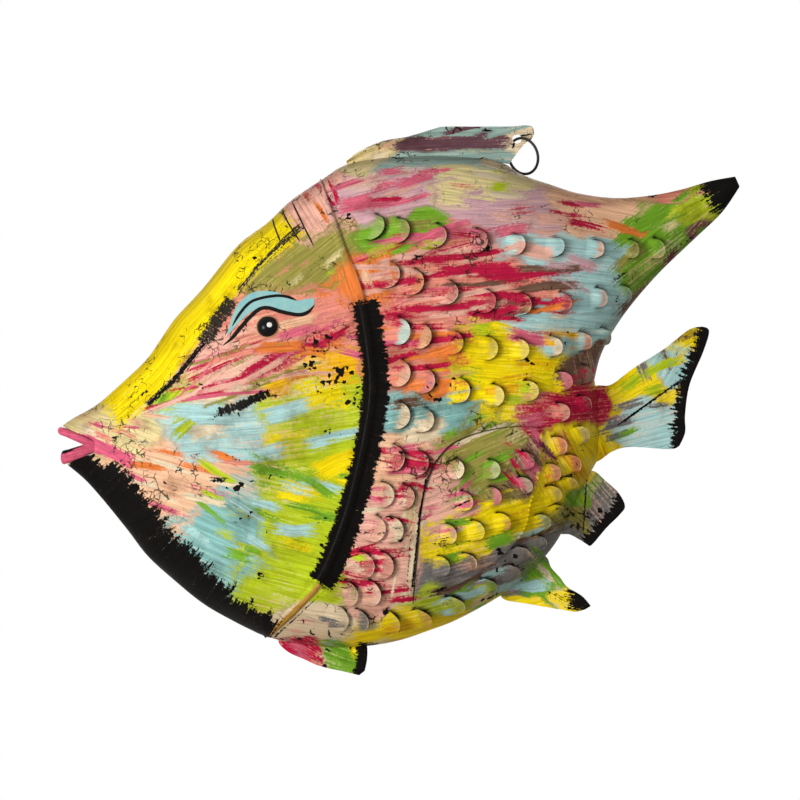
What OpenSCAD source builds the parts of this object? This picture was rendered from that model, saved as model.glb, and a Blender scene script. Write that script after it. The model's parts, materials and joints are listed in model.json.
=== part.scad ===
// Hollow fish of hammered sheet iron: two dished halves, lapped head, let-in fins and a hanging ring.
// X runs from nose to tail, Z is up, the left flank faces -Y. The origin is the middle of the ring.

/* [Body] */
// Length from the lips to the tip of the rear fin
fish_length = 600; // [540:5:660]
// Height from the pelvic fin to the top of the dorsal fin
fish_height = 484; // [440:4:530]
// Depth of one dished half at the middle of the flank
half_depth = 64; // [50:1:76]
// Distance from the seam at which a half reaches its full depth
dish_reach = 112; // [95:1:130]
// Thickness of the sheet of head and body
sheet = 1.2; // [0.9:0.1:1.6]
// Depth of the snout as a share of the flank's depth
snout_share = 0.45; // [0.35:0.01:0.6]
// Depth of the rear fin's tip as a share of the flank's depth
rear_fin_share = 0.18; // [0.15:0.01:0.3]

/* [Gill edge] */
// Overlap of the head over the body
gill_lap = 10; // [8:0.5:13]
// Height of the rolled edge above the head sheet
gill_roll = 2.4; // [1:0.1:3]

/* [Scales] */
// Width of a punched scale beside the gill
scale_front = 23; // [18:0.5:25]
// Width of a punched scale beside the tail
scale_rear = 17; // [13:0.5:18]
// Rise of a scale's free edge above the sheet
scale_lift = 4; // [3:0.1:5]

/* [Fins] */
// Thickness of the tail, anal and pelvic fins
fin_sheet = 2; // [1.5:0.1:3]
// Thickness of the dorsal fin's thick top edge
dorsal_bead = 10; // [7:0.5:13]
// Thickness of the dorsal fin's flat tip
dorsal_tip = 2.2; // [1.8:0.1:2.6]
// Thickness of the pectoral fin's sheet
pectoral_sheet = 1.5; // [1.2:0.1:2]
// Stand-off of the pectoral fin's front edge
pectoral_flare = 4; // [2:0.2:5]

/* [Face] */
// Diameter of an eye
eye_d = 18; // [15:0.5:21]
// Height of an eye's dome
eye_h = 7; // [5:0.25:9]
// Diameter of an eye's shank
eye_shank = 5; // [4:0.25:6]
// Thickness of the upper lip
upper_lip_d = 5; // [4:0.25:6]
// Height of the lower lip's front end
lower_lip_d = 9; // [7:0.25:10]

/* [Ring] */
// Diameter of the ring at the middle of its wire
ring_d = 32; // [29:0.5:36]
// Diameter of the ring's wire
ring_wire = 2.5; // [2:0.1:2.8]
// Diameter of the hole in the dorsal fin
ring_hole = 8; // [7.5:0.1:8.6]
// Angle at which the ring leans on the back at rest
ring_lean = 20; // [18:1:26]
// Angle between the ring and the fin
ring_turn = 40; // [38:1:44]

/* [Fits] */
// Clearance between lapped and let-in pieces
fit = 0.3; // [0.2:0.05:0.4]

/* [Hidden] */
$fn = 48;

// Outlines are drawn from the ring's hole, on a fish of this length and height.
drawn_length = 600;
drawn_height = 484;
drawn_ring_d = 32;
hole_x = -ring_d / 2 * sin(ring_lean);
hole_z = ring_d / 2 * cos(ring_lean);
function at(p) = [
  hole_x + p.x * fish_length / drawn_length,
  hole_z + p.y * fish_height / drawn_height
];
function placed(points) = [for (p = points) at(p)];
// Points of the back beside the ring keep clear of it, so they follow the ring's size.
function by_ring(points) = [for (p = points) [hole_x, hole_z] + p * ring_d / drawn_ring_d];

// Smooth curve through points, s counts points from the first.
function along(points, s) =
  let (
    last = len(points) - 1,
    i = min(floor(s), last - 1),
    f = s - i,
    b = points[i],
    c = points[i + 1],
    a = points[max(i - 1, 0)],
    d = points[min(i + 2, last)]
  )
  0.5 * (2 * b + (c - a) * f + (2 * a - 5 * b + 4 * c - d) * f * f + (3 * b - a - 3 * c + d) * f * f * f);
function curve(points, n) = [for (i = [0 : n]) along(points, i * (len(points) - 1) / n)];
function tail_of(points) = [for (i = [1 : len(points) - 1]) points[i]];
function total(values) = values * [for (v = values) 1];
function unit(v) = v / norm(v);
function ease(lo, hi, v) =
  let (f = max(0, min(1, (v - lo) / (hi - lo))))
  f * f * (3 - 2 * f);

// Edges of the head, clockwise from the top of the gill.
forehead = placed([
  [-180, -41], [-200, -55], [-220, -74], [-246, -94], [-276, -131], [-300, -157], [-314, -177],
  [-326, -194], [-348, -215], [-370, -234], [-391, -246], [-400, -252.5]
]);
mouth_edge = placed([[-387, -258.3], [-372.5, -264.5], [-370.5, -270], [-372.5, -276.5], [-386, -281.2]]);
lip_front = placed([[-405, -258], [-404, -283]]);
jaw = placed([
  [-396, -286.5], [-380, -300], [-363, -319], [-342, -345], [-325, -367], [-302, -388], [-276, -409],
  [-250, -424], [-228, -435]
]);
gill_line = placed([
  [-172, -36], [-162, -65], [-149, -102], [-137, -130], [-129, -168], [-124, -212], [-127, -247],
  [-135, -287], [-145, -326], [-158, -362], [-171, -388], [-191, -410], [-209, -427], [-221, -438]
]);

// Edges of the body, clockwise from the top of the gill.
back = concat(
  placed([[-165, -31], [-151, -23], [-121, -17], [-77, -15], [-33, -17]]),
  by_ring([[-11, -22], [0, -29], [11, -34], [29, -40]]),
  placed([[55, -48], [89, -52], [122, -49], [146, -44], [170, -37], [192, -33]])
);
fin_rear = placed([
  [196, -42], [180, -65], [156, -88], [122, -121], [93, -156], [75, -187], [68, -212]
]);
tail_root = placed([[70, -221], [72, -256], [70, -284]]);
belly = placed([
  [62, -298], [50, -322], [39, -347], [25, -367], [3, -389], [-18, -404], [-53, -423], [-79, -433],
  [-103, -441], [-131, -446], [-165, -447], [-195, -444], [-213, -440]
]);

// Rows of the shells run from the head's edge over the gill line to the body's edge.
forehead_rows = 14;
mouth_rows = len(mouth_edge) + 1;
jaw_rows = 12;
rows = forehead_rows + mouth_rows + jaw_rows;
back_rows = 11;
fin_rear_rows = 6;
tail_root_rows = 2;
belly_rows = rows - back_rows - fin_rear_rows - tail_root_rows - 3;
head_edge = concat(
  curve(forehead, forehead_rows),
  mouth_edge,
  curve(jaw, jaw_rows)
);
body_edge = concat(
  curve(back, back_rows),
  curve(fin_rear, fin_rear_rows),
  curve(tail_root, tail_root_rows),
  curve(belly, belly_rows)
);
gill_edge = curve(gill_line, rows);
seam = concat(
  [for (j = [0 : forehead_rows]) head_edge[j]],
  lip_front,
  [for (j = [forehead_rows + mouth_rows : rows]) head_edge[j]],
  [for (j = [rows : -1 : 0]) body_edge[j]]
);
seam_steps = [
  for (i = [0 : len(seam) - 1])
    let (a = seam[i], v = seam[(i + 1) % len(seam)] - a)
    [a, unit(v), norm(v)]
];

// Smooth distance from the seam: every bit of the seam counts by the inverse cube of its distance.
function pull(p, step) =
  let (
    d = p - step[0],
    s1 = -d * step[1],
    s2 = s1 + step[2],
    r1 = max(norm(d), 0.001),
    h2 = max(r1 * r1 - s1 * s1, 0.000001),
    r2 = sqrt(h2 + s2 * s2)
  )
  s1 * s2 < 0
    ? (s2 / r2 - s1 / r1) / h2
    : (s2 * s2 - s1 * s1) / (r1 * r2 * (s2 * r1 + s1 * r2));
function from_seam(p) = sqrt(2 / total([for (step = seam_steps) pull(p, step)]));

// Depth of a half at a point, less towards the snout and the rear fin's tip.
rear_fin_root = at([72, -122]);
rear_fin_way = unit(at([194, -38]) - rear_fin_root);
rear_fin_run = norm(at([194, -38]) - rear_fin_root);
rear_fin_start = -0.3 * rear_fin_run;
rear_fin_end = 0.9 * rear_fin_run;
snout_start = at([-404, 0]).x;
snout_end = at([-225, 0]).x;
function full_depth(p) =
  half_depth
  * (snout_share + (1 - snout_share) * ease(snout_start, snout_end, p.x))
  * (1 - (1 - rear_fin_share) * ease(rear_fin_start, rear_fin_end, (p - rear_fin_root) * rear_fin_way));
function depth(p) =
  let (f = 1 - min(1, from_seam(p) / dish_reach))
  full_depth(p) * sqrt(1 - f * f);
function on_flank(p) = [p.x, -depth(p), p.y];
probe = 0.5;
function flank_normal(p) =
  let (
    slope_x = (depth(p + [probe, 0]) - depth(p - [probe, 0])) / (2 * probe),
    slope_z = (depth(p + [0, probe]) - depth(p - [0, probe])) / (2 * probe)
  )
  unit([-slope_x, -1, -slope_z]);

// Stations along a row, close together at the seam where the dish is steep.
head_stations = 7;
body_stations = 9;
seam_crowding = 1.7;
gill_lead = 28;
roll_width = 6;
roll_crest = 0.45 * roll_width;
gill_stations = [gill_lead, gill_lap, roll_width, roll_crest, 0];
short_row = 80;
function head_row(j) =
  let (
    g = gill_edge[j],
    v = head_edge[j] - g,
    l = norm(v),
    k = min(1, l / short_row),
    free = l - gill_lead * k
  )
  concat(
    [for (i = [0 : head_stations - 1]) g + v * (1 - pow(i / head_stations, seam_crowding) * free / l)],
    [for (s = gill_stations) g + v * s * k / l]
  );
function body_row(j) =
  let (g = gill_edge[j], v = body_edge[j] - g)
  [for (i = [body_stations - 1 : -1 : 0]) g + v * (1 - pow(i / body_stations, seam_crowding))];
head_columns = head_stations + len(gill_stations);
columns = head_columns + body_stations;
lead_column = head_stations;
lap_column = head_stations + 1;
gill_column = head_columns - 1;
head_picked = [for (c = [0 : gill_column]) c];
body_picked = concat([lap_column], [for (c = [gill_column : columns - 1]) c]);

// A point is on the seam at the ends of its row, apart from the open mouth, and on the first and last rows.
function on_seam(j, c) =
  j == 0 || j == rows || c == columns - 1
  || (c == 0 && (j <= forehead_rows || j >= forehead_rows + mouth_rows));
function half_grid() = [
  for (j = [0 : rows])
    let (row = concat(head_row(j), body_row(j)))
    [for (c = [0 : columns - 1]) on_seam(j, c) ? [row[c].x, 0, row[c].y] : on_flank(row[c])]
];
function grid_normals(g) = [
  for (j = [0 : rows])
    [
      for (c = [0 : columns - 1])
        let (
          k = j == 0 || j == rows ? max(1, min(columns - 2, c)) : c,
          across = g[j][min(k + 1, columns - 1)] - g[j][max(k - 1, 0)],
          down = g[min(j + 1, rows)][k] - g[max(j - 1, 0)][k],
          n = unit(cross(down, across))
        )
        on_seam(j, c) ? unit([n.x, 0, n.z]) : n
    ]
];
function moved(g, normals, picked, lift) = [
  for (j = [0 : rows])
    [
      for (c = picked)
        let (p = g[j][c] + normals[j][c] * lift[c])
        [p.x, min(0, p.y), p.z]
    ]
];

// Closed sheet between two grids of points.
module sheet_between(outer, inner) {
  n = len(outer);
  m = len(outer[0]);
  points = concat([for (row = outer) each row], [for (row = inner) each row]);
  function o(j, c) = j * m + c;
  function i(j, c) = n * m + j * m + c;
  border = concat(
    [for (c = [0 : m - 2]) [[0, c], [0, c + 1]]],
    [for (j = [0 : n - 2]) [[j, m - 1], [j + 1, m - 1]]],
    [for (c = [m - 1 : -1 : 1]) [[n - 1, c], [n - 1, c - 1]]],
    [for (j = [n - 1 : -1 : 1]) [[j, 0], [j - 1, 0]]]
  );
  faces = concat(
    [
      for (j = [0 : n - 2])
        for (c = [0 : m - 2])
          each [[o(j, c), o(j + 1, c + 1), o(j + 1, c)], [o(j, c), o(j, c + 1), o(j + 1, c + 1)]]
    ],
    [
      for (j = [0 : n - 2])
        for (c = [0 : m - 2])
          each [[i(j, c), i(j + 1, c), i(j + 1, c + 1)], [i(j, c), i(j + 1, c + 1), i(j, c + 1)]]
    ],
    [
      for (e = border)
        let (a = e[0], b = e[1])
        each [
          [o(a[0], a[1]), i(b[0], b[1]), o(b[0], b[1])],
          [o(a[0], a[1]), i(a[0], a[1]), i(b[0], b[1])]
        ]
    ]
  );
  polyhedron(points, faces);
}

// Lift of the head's sheet over the body at each column, with the rolled edge at the gill.
lap_lift = sheet + fit;
roll_shares = [0, 0.7, 1, 0.5];
head_outer_lift = [
  for (c = [0 : gill_column])
    c <= lead_column ? 0 : lap_lift + gill_roll * roll_shares[c - lap_column]
];
head_inner_lift = [for (c = [0 : gill_column]) c <= lead_column ? -sheet : fit];
body_outer_lift = [for (c = [0 : columns - 1]) 0];
body_inner_lift = [for (c = [0 : columns - 1]) -sheet];

// Leaf of the pectoral fin, from its lower front end upwards.
pectoral_front = placed([[-93, -404], [-90, -370], [-85, -318], [-75, -286]]);
pectoral_top = placed([[-75, -286], [-59, -268], [-33, -257], [-2, -252], [20, -255]]);
pectoral_rear = placed([
  [20, -255], [17, -291], [10, -318], [3, -344], [-20, -368], [-55, -390], [-93, -404]
]);
pectoral_outline = concat(
  curve(pectoral_front, 6),
  tail_of(curve(pectoral_top, 6)),
  tail_of(curve(pectoral_rear, 9))
);
function crossings(p, outline) = total([
  for (i = [0 : len(outline) - 1])
    let (a = outline[i], b = outline[(i + 1) % len(outline)])
    (a.y > p.y) != (b.y > p.y) && p.x < a.x + (p.y - a.y) * (b.x - a.x) / (b.y - a.y) ? 1 : 0
]);
function inside(p, outline) = crossings(p, outline) % 2 == 1;
function to_outline(p, outline) = min([
  for (i = [0 : len(outline) - 1])
    let (
      a = outline[i],
      v = outline[(i + 1) % len(outline)] - a,
      f = v * v == 0 ? 0 : max(0, min(1, (p - a) * v / (v * v)))
    )
    norm(p - a - f * v)
]);

// Rows of scales: first, middle and last place, and how many.
scale_rows = [
  [[-128, -80], [-4, -95], [120, -97], 9],
  [[-115, -121], [-15, -146], [92, -139], 8],
  [[-106, -170], [-15, -186], [74, -177], 8],
  [[-106, -206], [-23, -226], [58, -208], 7],
  [[-106, -243], [-23, -254], [56, -235], 7],
  [[-111, -280], [-26, -290], [53, -262], 7],
  [[-119, -312], [-37, -316], [45, -287], 8],
  [[-127, -341], [-40, -343], [43, -306], 9],
  [[-137, -373], [-46, -370], [33, -330], 9],
  [[-151, -398], [-60, -392], [16, -357], 8],
  [[-160, -420], [-88, -421], [-8, -382], 7]
];
scale_gap = 1.5;
pectoral_scale_share = 0.85;
function scale_width(x) =
  let (f = ease(at([-120, 0]).x, at([60, 0]).x, x))
  scale_front + (scale_rear - scale_front) * f;
scale_places = [
  for (row = scale_rows)
    let (stops = placed([row[0], row[1], row[2]]), last = row[3] - 1)
    for (i = [0 : last])
      let (
        s = 2 * i / last,
        p = along(stops, s),
        way = unit(along(stops, min(2, s + 0.1)) - along(stops, max(0, s - 0.1)))
      )
      [p, way]
];
function scale_reach(place) = scale_width(place[0].x) / 2;
body_scales = [
  for (place = scale_places)
    let (free = to_outline(place[0], pectoral_outline))
    if (!inside(place[0], pectoral_outline) && free > scale_reach(place) + scale_gap) place
];
pectoral_scales = [
  for (place = scale_places)
    let (free = to_outline(place[0], pectoral_outline))
    if (inside(place[0], pectoral_outline) && free > pectoral_scale_share * scale_reach(place)) place
];

// Half-round tab, hinged at the front and lifted at its free edge.
scale_root = 0.9;
scale_hinge = 0.2;
scale_crown = 1.6;
module scale_tab(place, base, share) {
  w = share * scale_width(place[0].x);
  root = place[0] - place[1] * w / 2;
  n = flank_normal(root);
  foot = on_flank(root) + n * base;
  way = [place[1].x, 0, place[1].y];
  t = unit(way - n * (way * n));
  b = cross(n, t);
  crest = 0.55 * w;
  rim = [for (a = [-90 : 45 : 90]) [w / 2 + w / 2 * cos(a), w / 2 * sin(a)]];
  function rise(x) = -scale_root + (scale_lift + scale_root) * x / w;
  corners = concat(
    [for (y = [-w / 2, w / 2]) each [[0, y, -scale_root], [0, y, -scale_root - scale_hinge]]],
    [for (p = rim) each [[p.x, p.y, rise(p.x)], [p.x, p.y, rise(p.x) - sheet]]],
    [[crest, 0, rise(crest) + scale_crown]]
  );
  points = [for (p = corners) foot + t * p.x + b * p.y + n * p.z];
  hull()
    polyhedron(points, [[for (i = [0 : len(points) - 1]) i]]);
}

// Sheet fins, each drawn with the part of its root that is let into the seam.
tail_outline = concat(
  placed([[56, -222]]),
  curve(placed([[70, -217], [83, -216], [102, -202], [129, -185], [151, -168], [163, -165]]), 8),
  curve(placed([[169, -169], [164, -187], [152, -216], [148, -242], [148, -258]]), 7),
  curve(placed([[143, -270], [134, -273], [100, -271], [84, -275], [70, -284]]), 6),
  placed([[56, -282]])
);
upper_anal_outline = concat(
  placed([[50, -300]]),
  curve(placed([[66, -292], [77, -300], [89, -311], [95, -323], [90, -331], [79, -342], [66, -357]]), 9),
  curve(placed([[62, -357], [54, -352], [46, -348], [37, -347]]), 3),
  placed([[28, -338]])
);
lower_anal_outline = concat(
  placed([[14, -360]]),
  curve(placed([[26, -368], [30, -377], [38, -386], [44, -394], [57, -402], [65, -411]]), 8),
  curve(placed([[60, -414], [51, -416], [38, -414], [9, -409], [-13, -404]]), 5),
  placed([[-14, -388]])
);
pelvic_outline = concat(
  placed([[-200, -430]]),
  curve(placed([[-210, -441], [-202, -451], [-187, -458], [-173, -464], [-151, -469], [-139, -472]]), 8),
  curve(placed([[-134, -468], [-132, -458], [-132, -446]]), 3),
  placed([[-136, -432]])
);
module sheet_fin(outline) {
  rotate([90, 0, 0])
    linear_extrude(fin_sheet, center = true)
      polygon(outline);
}
module fin_slot(outline, thickness) {
  rotate([90, 0, 0])
    linear_extrude(thickness + 2 * fit, center = true)
      offset(r = fit)
        polygon(outline);
}

// Dorsal fin: cross-sections from its root to its thick top edge, flat at the pierced tip.
dorsal_top = placed([
  [-150, -19], [-139, -11], [-119, -2], [-97, 2], [-73, 9], [-63, 11], [-36, 11], [-6, 11], [6, 12]
]);
dorsal_end = placed([[6, 12], [13, 11], [15, 5], [12, -1], [6, -5], [-7, -19]]);
dorsal_root = placed([[-150, -21], [-121, -16], [-77, -14], [-33, -16], [-9, -20]]);
dorsal_sections = 14;
dorsal_levels = [[0, 0.4], [0.35, 0.4], [0.6, 0.65], [0.8, 1], [0.93, 0.75], [1, 0.15]];
dorsal_tip_fullness = 2.5;
tang_depth = 8;
dorsal_flat_start = at([-40, 0]).x;
dorsal_flat_end = at([-14, 0]).x;
module dorsal_body() {
  top = concat(curve(dorsal_top, 11), tail_of(curve(dorsal_end, 3)));
  root = curve(dorsal_root, dorsal_sections);
  function bead(x, share) =
    let (f = ease(dorsal_flat_start, dorsal_flat_end, x))
    (dorsal_bead * share * (1 - f) + dorsal_tip * min(1, share * dorsal_tip_fullness) * f) / 2;
  function section(side) = [
    for (s = [0 : dorsal_sections])
      [
        for (level = dorsal_levels)
          let (p = root[s] + (top[s] - root[s]) * level[0])
          [p.x, side * bead(p.x, level[1]), p.y]
      ]
  ];
  sheet_between(section(-1), section(1));
}
tang_outline = concat(
  placed([[-110, -8], [-14, -10]]),
  placed([[-18, -19 - tang_depth], [-106, -17 - tang_depth]])
);

// Bar bent round the mouth, from one corner over the front to the other.
lip_sides = 8;
lower_lip_taper = 0.45;
lower_lip_flat = 0.6;
module lip_bar(path, heights, depths) {
  n = len(path) - 1;
  half = [for (p = path) [p.x, -max(0, depth(p) - 1), p.y]];
  whole = concat(half, [for (i = [n - 1 : -1 : 0]) [half[i].x, -half[i].y, half[i].z]]);
  last = len(whole) - 1;
  function size(values, i) = i <= n ? values[i] : values[2 * n - i];
  rings = [
    for (i = [0 : last])
      let (
        t = unit(whole[min(i + 1, last)] - whole[max(i - 1, 0)]),
        side = unit(cross([0, 0, 1], t)),
        up = cross(t, side)
      )
      [
        for (k = [0 : lip_sides - 1])
          let (a = 360 * (k + 0.5) / lip_sides)
          whole[i] + side * cos(a) * size(depths, i) / 2 + up * sin(a) * size(heights, i) / 2
      ]
  ];
  points = [for (ring = rings) each ring];
  function at_ring(i, k) = i * lip_sides + k % lip_sides;
  faces = concat(
    [[for (k = [0 : lip_sides - 1]) k]],
    [
      for (i = [0 : last - 1])
        for (k = [0 : lip_sides - 1])
          each [
            [at_ring(i, k), at_ring(i + 1, k + 1), at_ring(i, k + 1)],
            [at_ring(i, k), at_ring(i + 1, k), at_ring(i + 1, k + 1)]
          ]
    ],
    [[for (k = [lip_sides - 1 : -1 : 0]) at_ring(last, k)]]
  );
  polyhedron(points, faces);
}

// Eye stud on the left flank, its shank along the sheet's normal.
eye_place = at([-218, -166]);
shank_length = 6;
clench_d = eye_shank + 3;
module at_eye() {
  n = flank_normal(eye_place);
  translate(on_flank(eye_place))
    rotate([0, acos(n.z), atan2(n.y, n.x)])
      children();
}
module eye_stud() {
  at_eye()
    rotate_extrude()
      polygon(concat(
        [[0, -shank_length - 1], [clench_d / 2, -shank_length - 1], [clench_d / 2, -shank_length]],
        [[eye_shank / 2, -shank_length], [eye_shank / 2, fit]],
        [for (a = [0 : 15 : 90]) [eye_d / 2 * cos(a), fit + eye_h * sin(a)]]
      ));
}

module head_half() {
  g = half_grid();
  n = grid_normals(g);
  difference() {
    sheet_between(
      moved(g, n, head_picked, head_outer_lift),
      moved(g, n, head_picked, head_inner_lift)
    );
    at_eye()
      cylinder(d = eye_shank + 2 * fit, h = 4 * shank_length, center = true);
  }
}
module body_half() {
  g = half_grid();
  n = grid_normals(g);
  difference() {
    union() {
      sheet_between(
        moved(g, n, body_picked, body_outer_lift),
        moved(g, n, body_picked, body_inner_lift)
      );
      for (place = body_scales)
        scale_tab(place, 0, 1);
    }
    fin_slot(tail_outline, fin_sheet);
    fin_slot(upper_anal_outline, fin_sheet);
    fin_slot(lower_anal_outline, fin_sheet);
    fin_slot(pelvic_outline, fin_sheet);
    fin_slot(tang_outline, fin_sheet);
  }
}

// Pectoral fin: rows between its front edge and its rear edge, standing off the flank at the front.
pectoral_rows = 10;
pectoral_columns = 5;
pectoral_seat = 1;
pectoral_rear_run = 5.4;
module pectoral_half() {
  front = concat(curve(pectoral_front, 6), tail_of(curve(pectoral_top, 4)));
  rear = [for (s = [pectoral_rows : -1 : 0]) along(pectoral_rear, s * pectoral_rear_run / pectoral_rows)];
  function leaf(lift) = [
    for (j = [pectoral_rows : -1 : 0])
      [
        for (c = [0 : pectoral_columns])
          let (
            f = c / pectoral_columns,
            p = front[j] + (rear[j] - front[j]) * f,
            n = flank_normal(p)
          )
          on_flank(p) + n * (pectoral_seat + pectoral_flare * pow(1 - f, 3) + lift)
      ]
  ];
  union() {
    sheet_between(leaf(pectoral_sheet), leaf(0));
    for (place = pectoral_scales)
      scale_tab(place, pectoral_seat + pectoral_sheet, pectoral_scale_share);
  }
}

module left_body_shell() {
  color("rosybrown")
    body_half();
}
module right_body_shell() {
  color("rosybrown")
    mirror([0, 1, 0])
      body_half();
}
module left_head_shell() {
  color("khaki")
    head_half();
}
module right_head_shell() {
  color("khaki")
    mirror([0, 1, 0])
      head_half();
}
module upper_lip() {
  color("hotpink")
    lip_bar(
      placed([[-375, -267.5], [-382, -264.5], [-389, -261.5], [-395, -259], [-400.5, -257]]),
      [for (i = [0 : 4]) upper_lip_d],
      [for (i = [0 : 4]) upper_lip_d]
    );
}
module lower_lip() {
  color("hotpink")
    lip_bar(
      placed([[-375, -273], [-382, -275.5], [-389, -278], [-394, -279.7], [-399, -281]]),
      [for (i = [0 : 4]) lower_lip_d * (1 - lower_lip_taper * (1 - i / 4))],
      [for (i = [0 : 4]) lower_lip_d * lower_lip_flat]
    );
}
module left_eye() {
  color("black")
    eye_stud();
}
module right_eye() {
  color("black")
    mirror([0, 1, 0])
      eye_stud();
}
module left_pectoral_fin() {
  color("gold")
    pectoral_half();
}
module right_pectoral_fin() {
  color("gold")
    mirror([0, 1, 0])
      pectoral_half();
}
module dorsal_fin() {
  color("cadetblue")
    difference() {
      union() {
        dorsal_body();
        sheet_fin(tang_outline);
      }
      translate([hole_x, 0, hole_z])
        rotate([90, 0, 0])
          cylinder(d = ring_hole, h = 2 * dorsal_bead, center = true);
    }
}
module tail_fin() {
  color("indianred")
    sheet_fin(tail_outline);
}
module upper_anal_fin() {
  color("mediumpurple")
    sheet_fin(upper_anal_outline);
}
module lower_anal_fin() {
  color("mediumpurple")
    sheet_fin(lower_anal_outline);
}
module pelvic_fin() {
  color("yellowgreen")
    sheet_fin(pelvic_outline);
}
module hanging_ring() {
  color("dimgray")
    rotate([0, -ring_lean, 0])
      rotate([0, 0, -ring_turn])
        rotate([90, 0, 0])
          rotate_extrude()
            translate([ring_d / 2, 0])
              circle(d = ring_wire);
}

left_body_shell();
right_body_shell();
left_head_shell();
right_head_shell();
upper_lip();
lower_lip();
left_eye();
right_eye();
left_pectoral_fin();
right_pectoral_fin();
dorsal_fin();
tail_fin();
upper_anal_fin();
lower_anal_fin();
pelvic_fin();
hanging_ring();
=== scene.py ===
import json
import math
import bmesh
import bpy
import numpy as np
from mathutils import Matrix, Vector


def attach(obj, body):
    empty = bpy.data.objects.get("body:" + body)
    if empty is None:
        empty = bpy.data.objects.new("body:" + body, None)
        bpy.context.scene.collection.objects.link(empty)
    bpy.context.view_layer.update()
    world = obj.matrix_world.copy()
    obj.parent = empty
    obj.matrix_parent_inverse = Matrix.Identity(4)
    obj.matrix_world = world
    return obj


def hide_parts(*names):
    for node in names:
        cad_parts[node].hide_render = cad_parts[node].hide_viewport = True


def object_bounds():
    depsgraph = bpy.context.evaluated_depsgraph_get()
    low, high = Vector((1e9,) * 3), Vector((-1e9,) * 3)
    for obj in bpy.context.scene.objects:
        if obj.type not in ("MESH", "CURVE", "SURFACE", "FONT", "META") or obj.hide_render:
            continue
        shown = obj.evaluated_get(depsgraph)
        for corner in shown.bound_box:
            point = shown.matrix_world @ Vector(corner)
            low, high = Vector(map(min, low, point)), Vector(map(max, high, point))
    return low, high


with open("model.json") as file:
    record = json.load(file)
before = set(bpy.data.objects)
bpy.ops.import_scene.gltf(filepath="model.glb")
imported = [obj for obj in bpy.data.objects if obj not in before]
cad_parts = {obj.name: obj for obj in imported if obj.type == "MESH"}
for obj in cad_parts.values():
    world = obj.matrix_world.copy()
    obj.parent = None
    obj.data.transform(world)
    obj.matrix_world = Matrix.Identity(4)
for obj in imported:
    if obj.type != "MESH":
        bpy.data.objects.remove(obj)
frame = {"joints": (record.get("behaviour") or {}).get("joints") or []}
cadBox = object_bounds()
mm = 0.001
hole = np.array(frame["joints"][0]["pos_m"]) / mm  # outlines are drawn from the ring's hole, in mm
print("frame loaded")

# Outlines of the fish, x towards the tail and z up
outline = {
    "forehead": [(-180, -41), (-200, -55), (-220, -74), (-246, -94), (-276, -131), (-300, -157), (-314, -177),
                 (-326, -194), (-348, -215), (-370, -234), (-391, -246), (-400, -252.5)],
    "mouthEdge": [(-387, -258.3), (-372.5, -264.5), (-370.5, -270), (-372.5, -276.5), (-386, -281.2)],
    "lipFront": [(-405, -258), (-404, -283)],
    "jaw": [(-396, -286.5), (-380, -300), (-363, -319), (-342, -345), (-325, -367), (-302, -388), (-276, -409),
            (-250, -424), (-228, -435)],
    "gillLine": [(-172, -36), (-162, -65), (-149, -102), (-137, -130), (-129, -168), (-124, -212), (-127, -247),
                 (-135, -287), (-145, -326), (-158, -362), (-171, -388), (-191, -410), (-209, -427), (-221, -438)],
    "back": [(-165, -31), (-151, -23), (-121, -17), (-77, -15), (-33, -17), (-11, -22), (0, -29), (11, -34),
             (29, -40), (55, -48), (89, -52), (122, -49), (146, -44), (170, -37), (192, -33)],
    "finRear": [(196, -42), (180, -65), (156, -88), (122, -121), (93, -156), (75, -187), (68, -212)],
    "tailRoot": [(70, -221), (72, -256), (70, -284)],
    "belly": [(62, -298), (50, -322), (39, -347), (25, -367), (3, -389), (-18, -404), (-53, -423), (-79, -433),
              (-103, -441), (-131, -446), (-165, -447), (-195, -444), (-213, -440)],
}


def along(points, s):
    points = np.asarray(points, float)
    last = len(points) - 1
    s = np.clip(np.asarray(s, float), 0, last)
    i = np.minimum(np.floor(s).astype(int), last - 1)
    f = (s - i)[..., None]
    a, b = points[np.maximum(i - 1, 0)], points[i]
    c, d = points[i + 1], points[np.minimum(i + 2, last)]
    return 0.5 * (2 * b + (c - a) * f + (2 * a - 5 * b + 4 * c - d) * f ** 2 + (3 * b - a - 3 * c + d) * f ** 3)


def curve(points, n):
    return along(points, np.linspace(0, len(points) - 1, n + 1))


def ease(lo, hi, v):
    f = np.clip((v - lo) / (hi - lo), 0, 1)
    return f * f * (3 - 2 * f)


def toFrame(points):
    return (np.asarray(points, float) + [hole[0], 0, hole[2]]) * mm


def heading(angle):
    return np.array([math.cos(angle), math.sin(angle)])


def leftOf(way):
    return np.stack([-way[..., 1], way[..., 0]], -1)


def turned(way, angle):
    ahead = heading(angle)
    return ahead * way[..., :1] + leftOf(ahead) * way[..., 1:]


def fullTurn(n):
    return 2 * math.pi * np.arange(n) / n


def unit(v):
    return v / np.maximum(np.linalg.norm(v, axis=-1, keepdims=True), 1e-9)


def mix(first, last, share):
    return first + (last - first) * share


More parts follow.
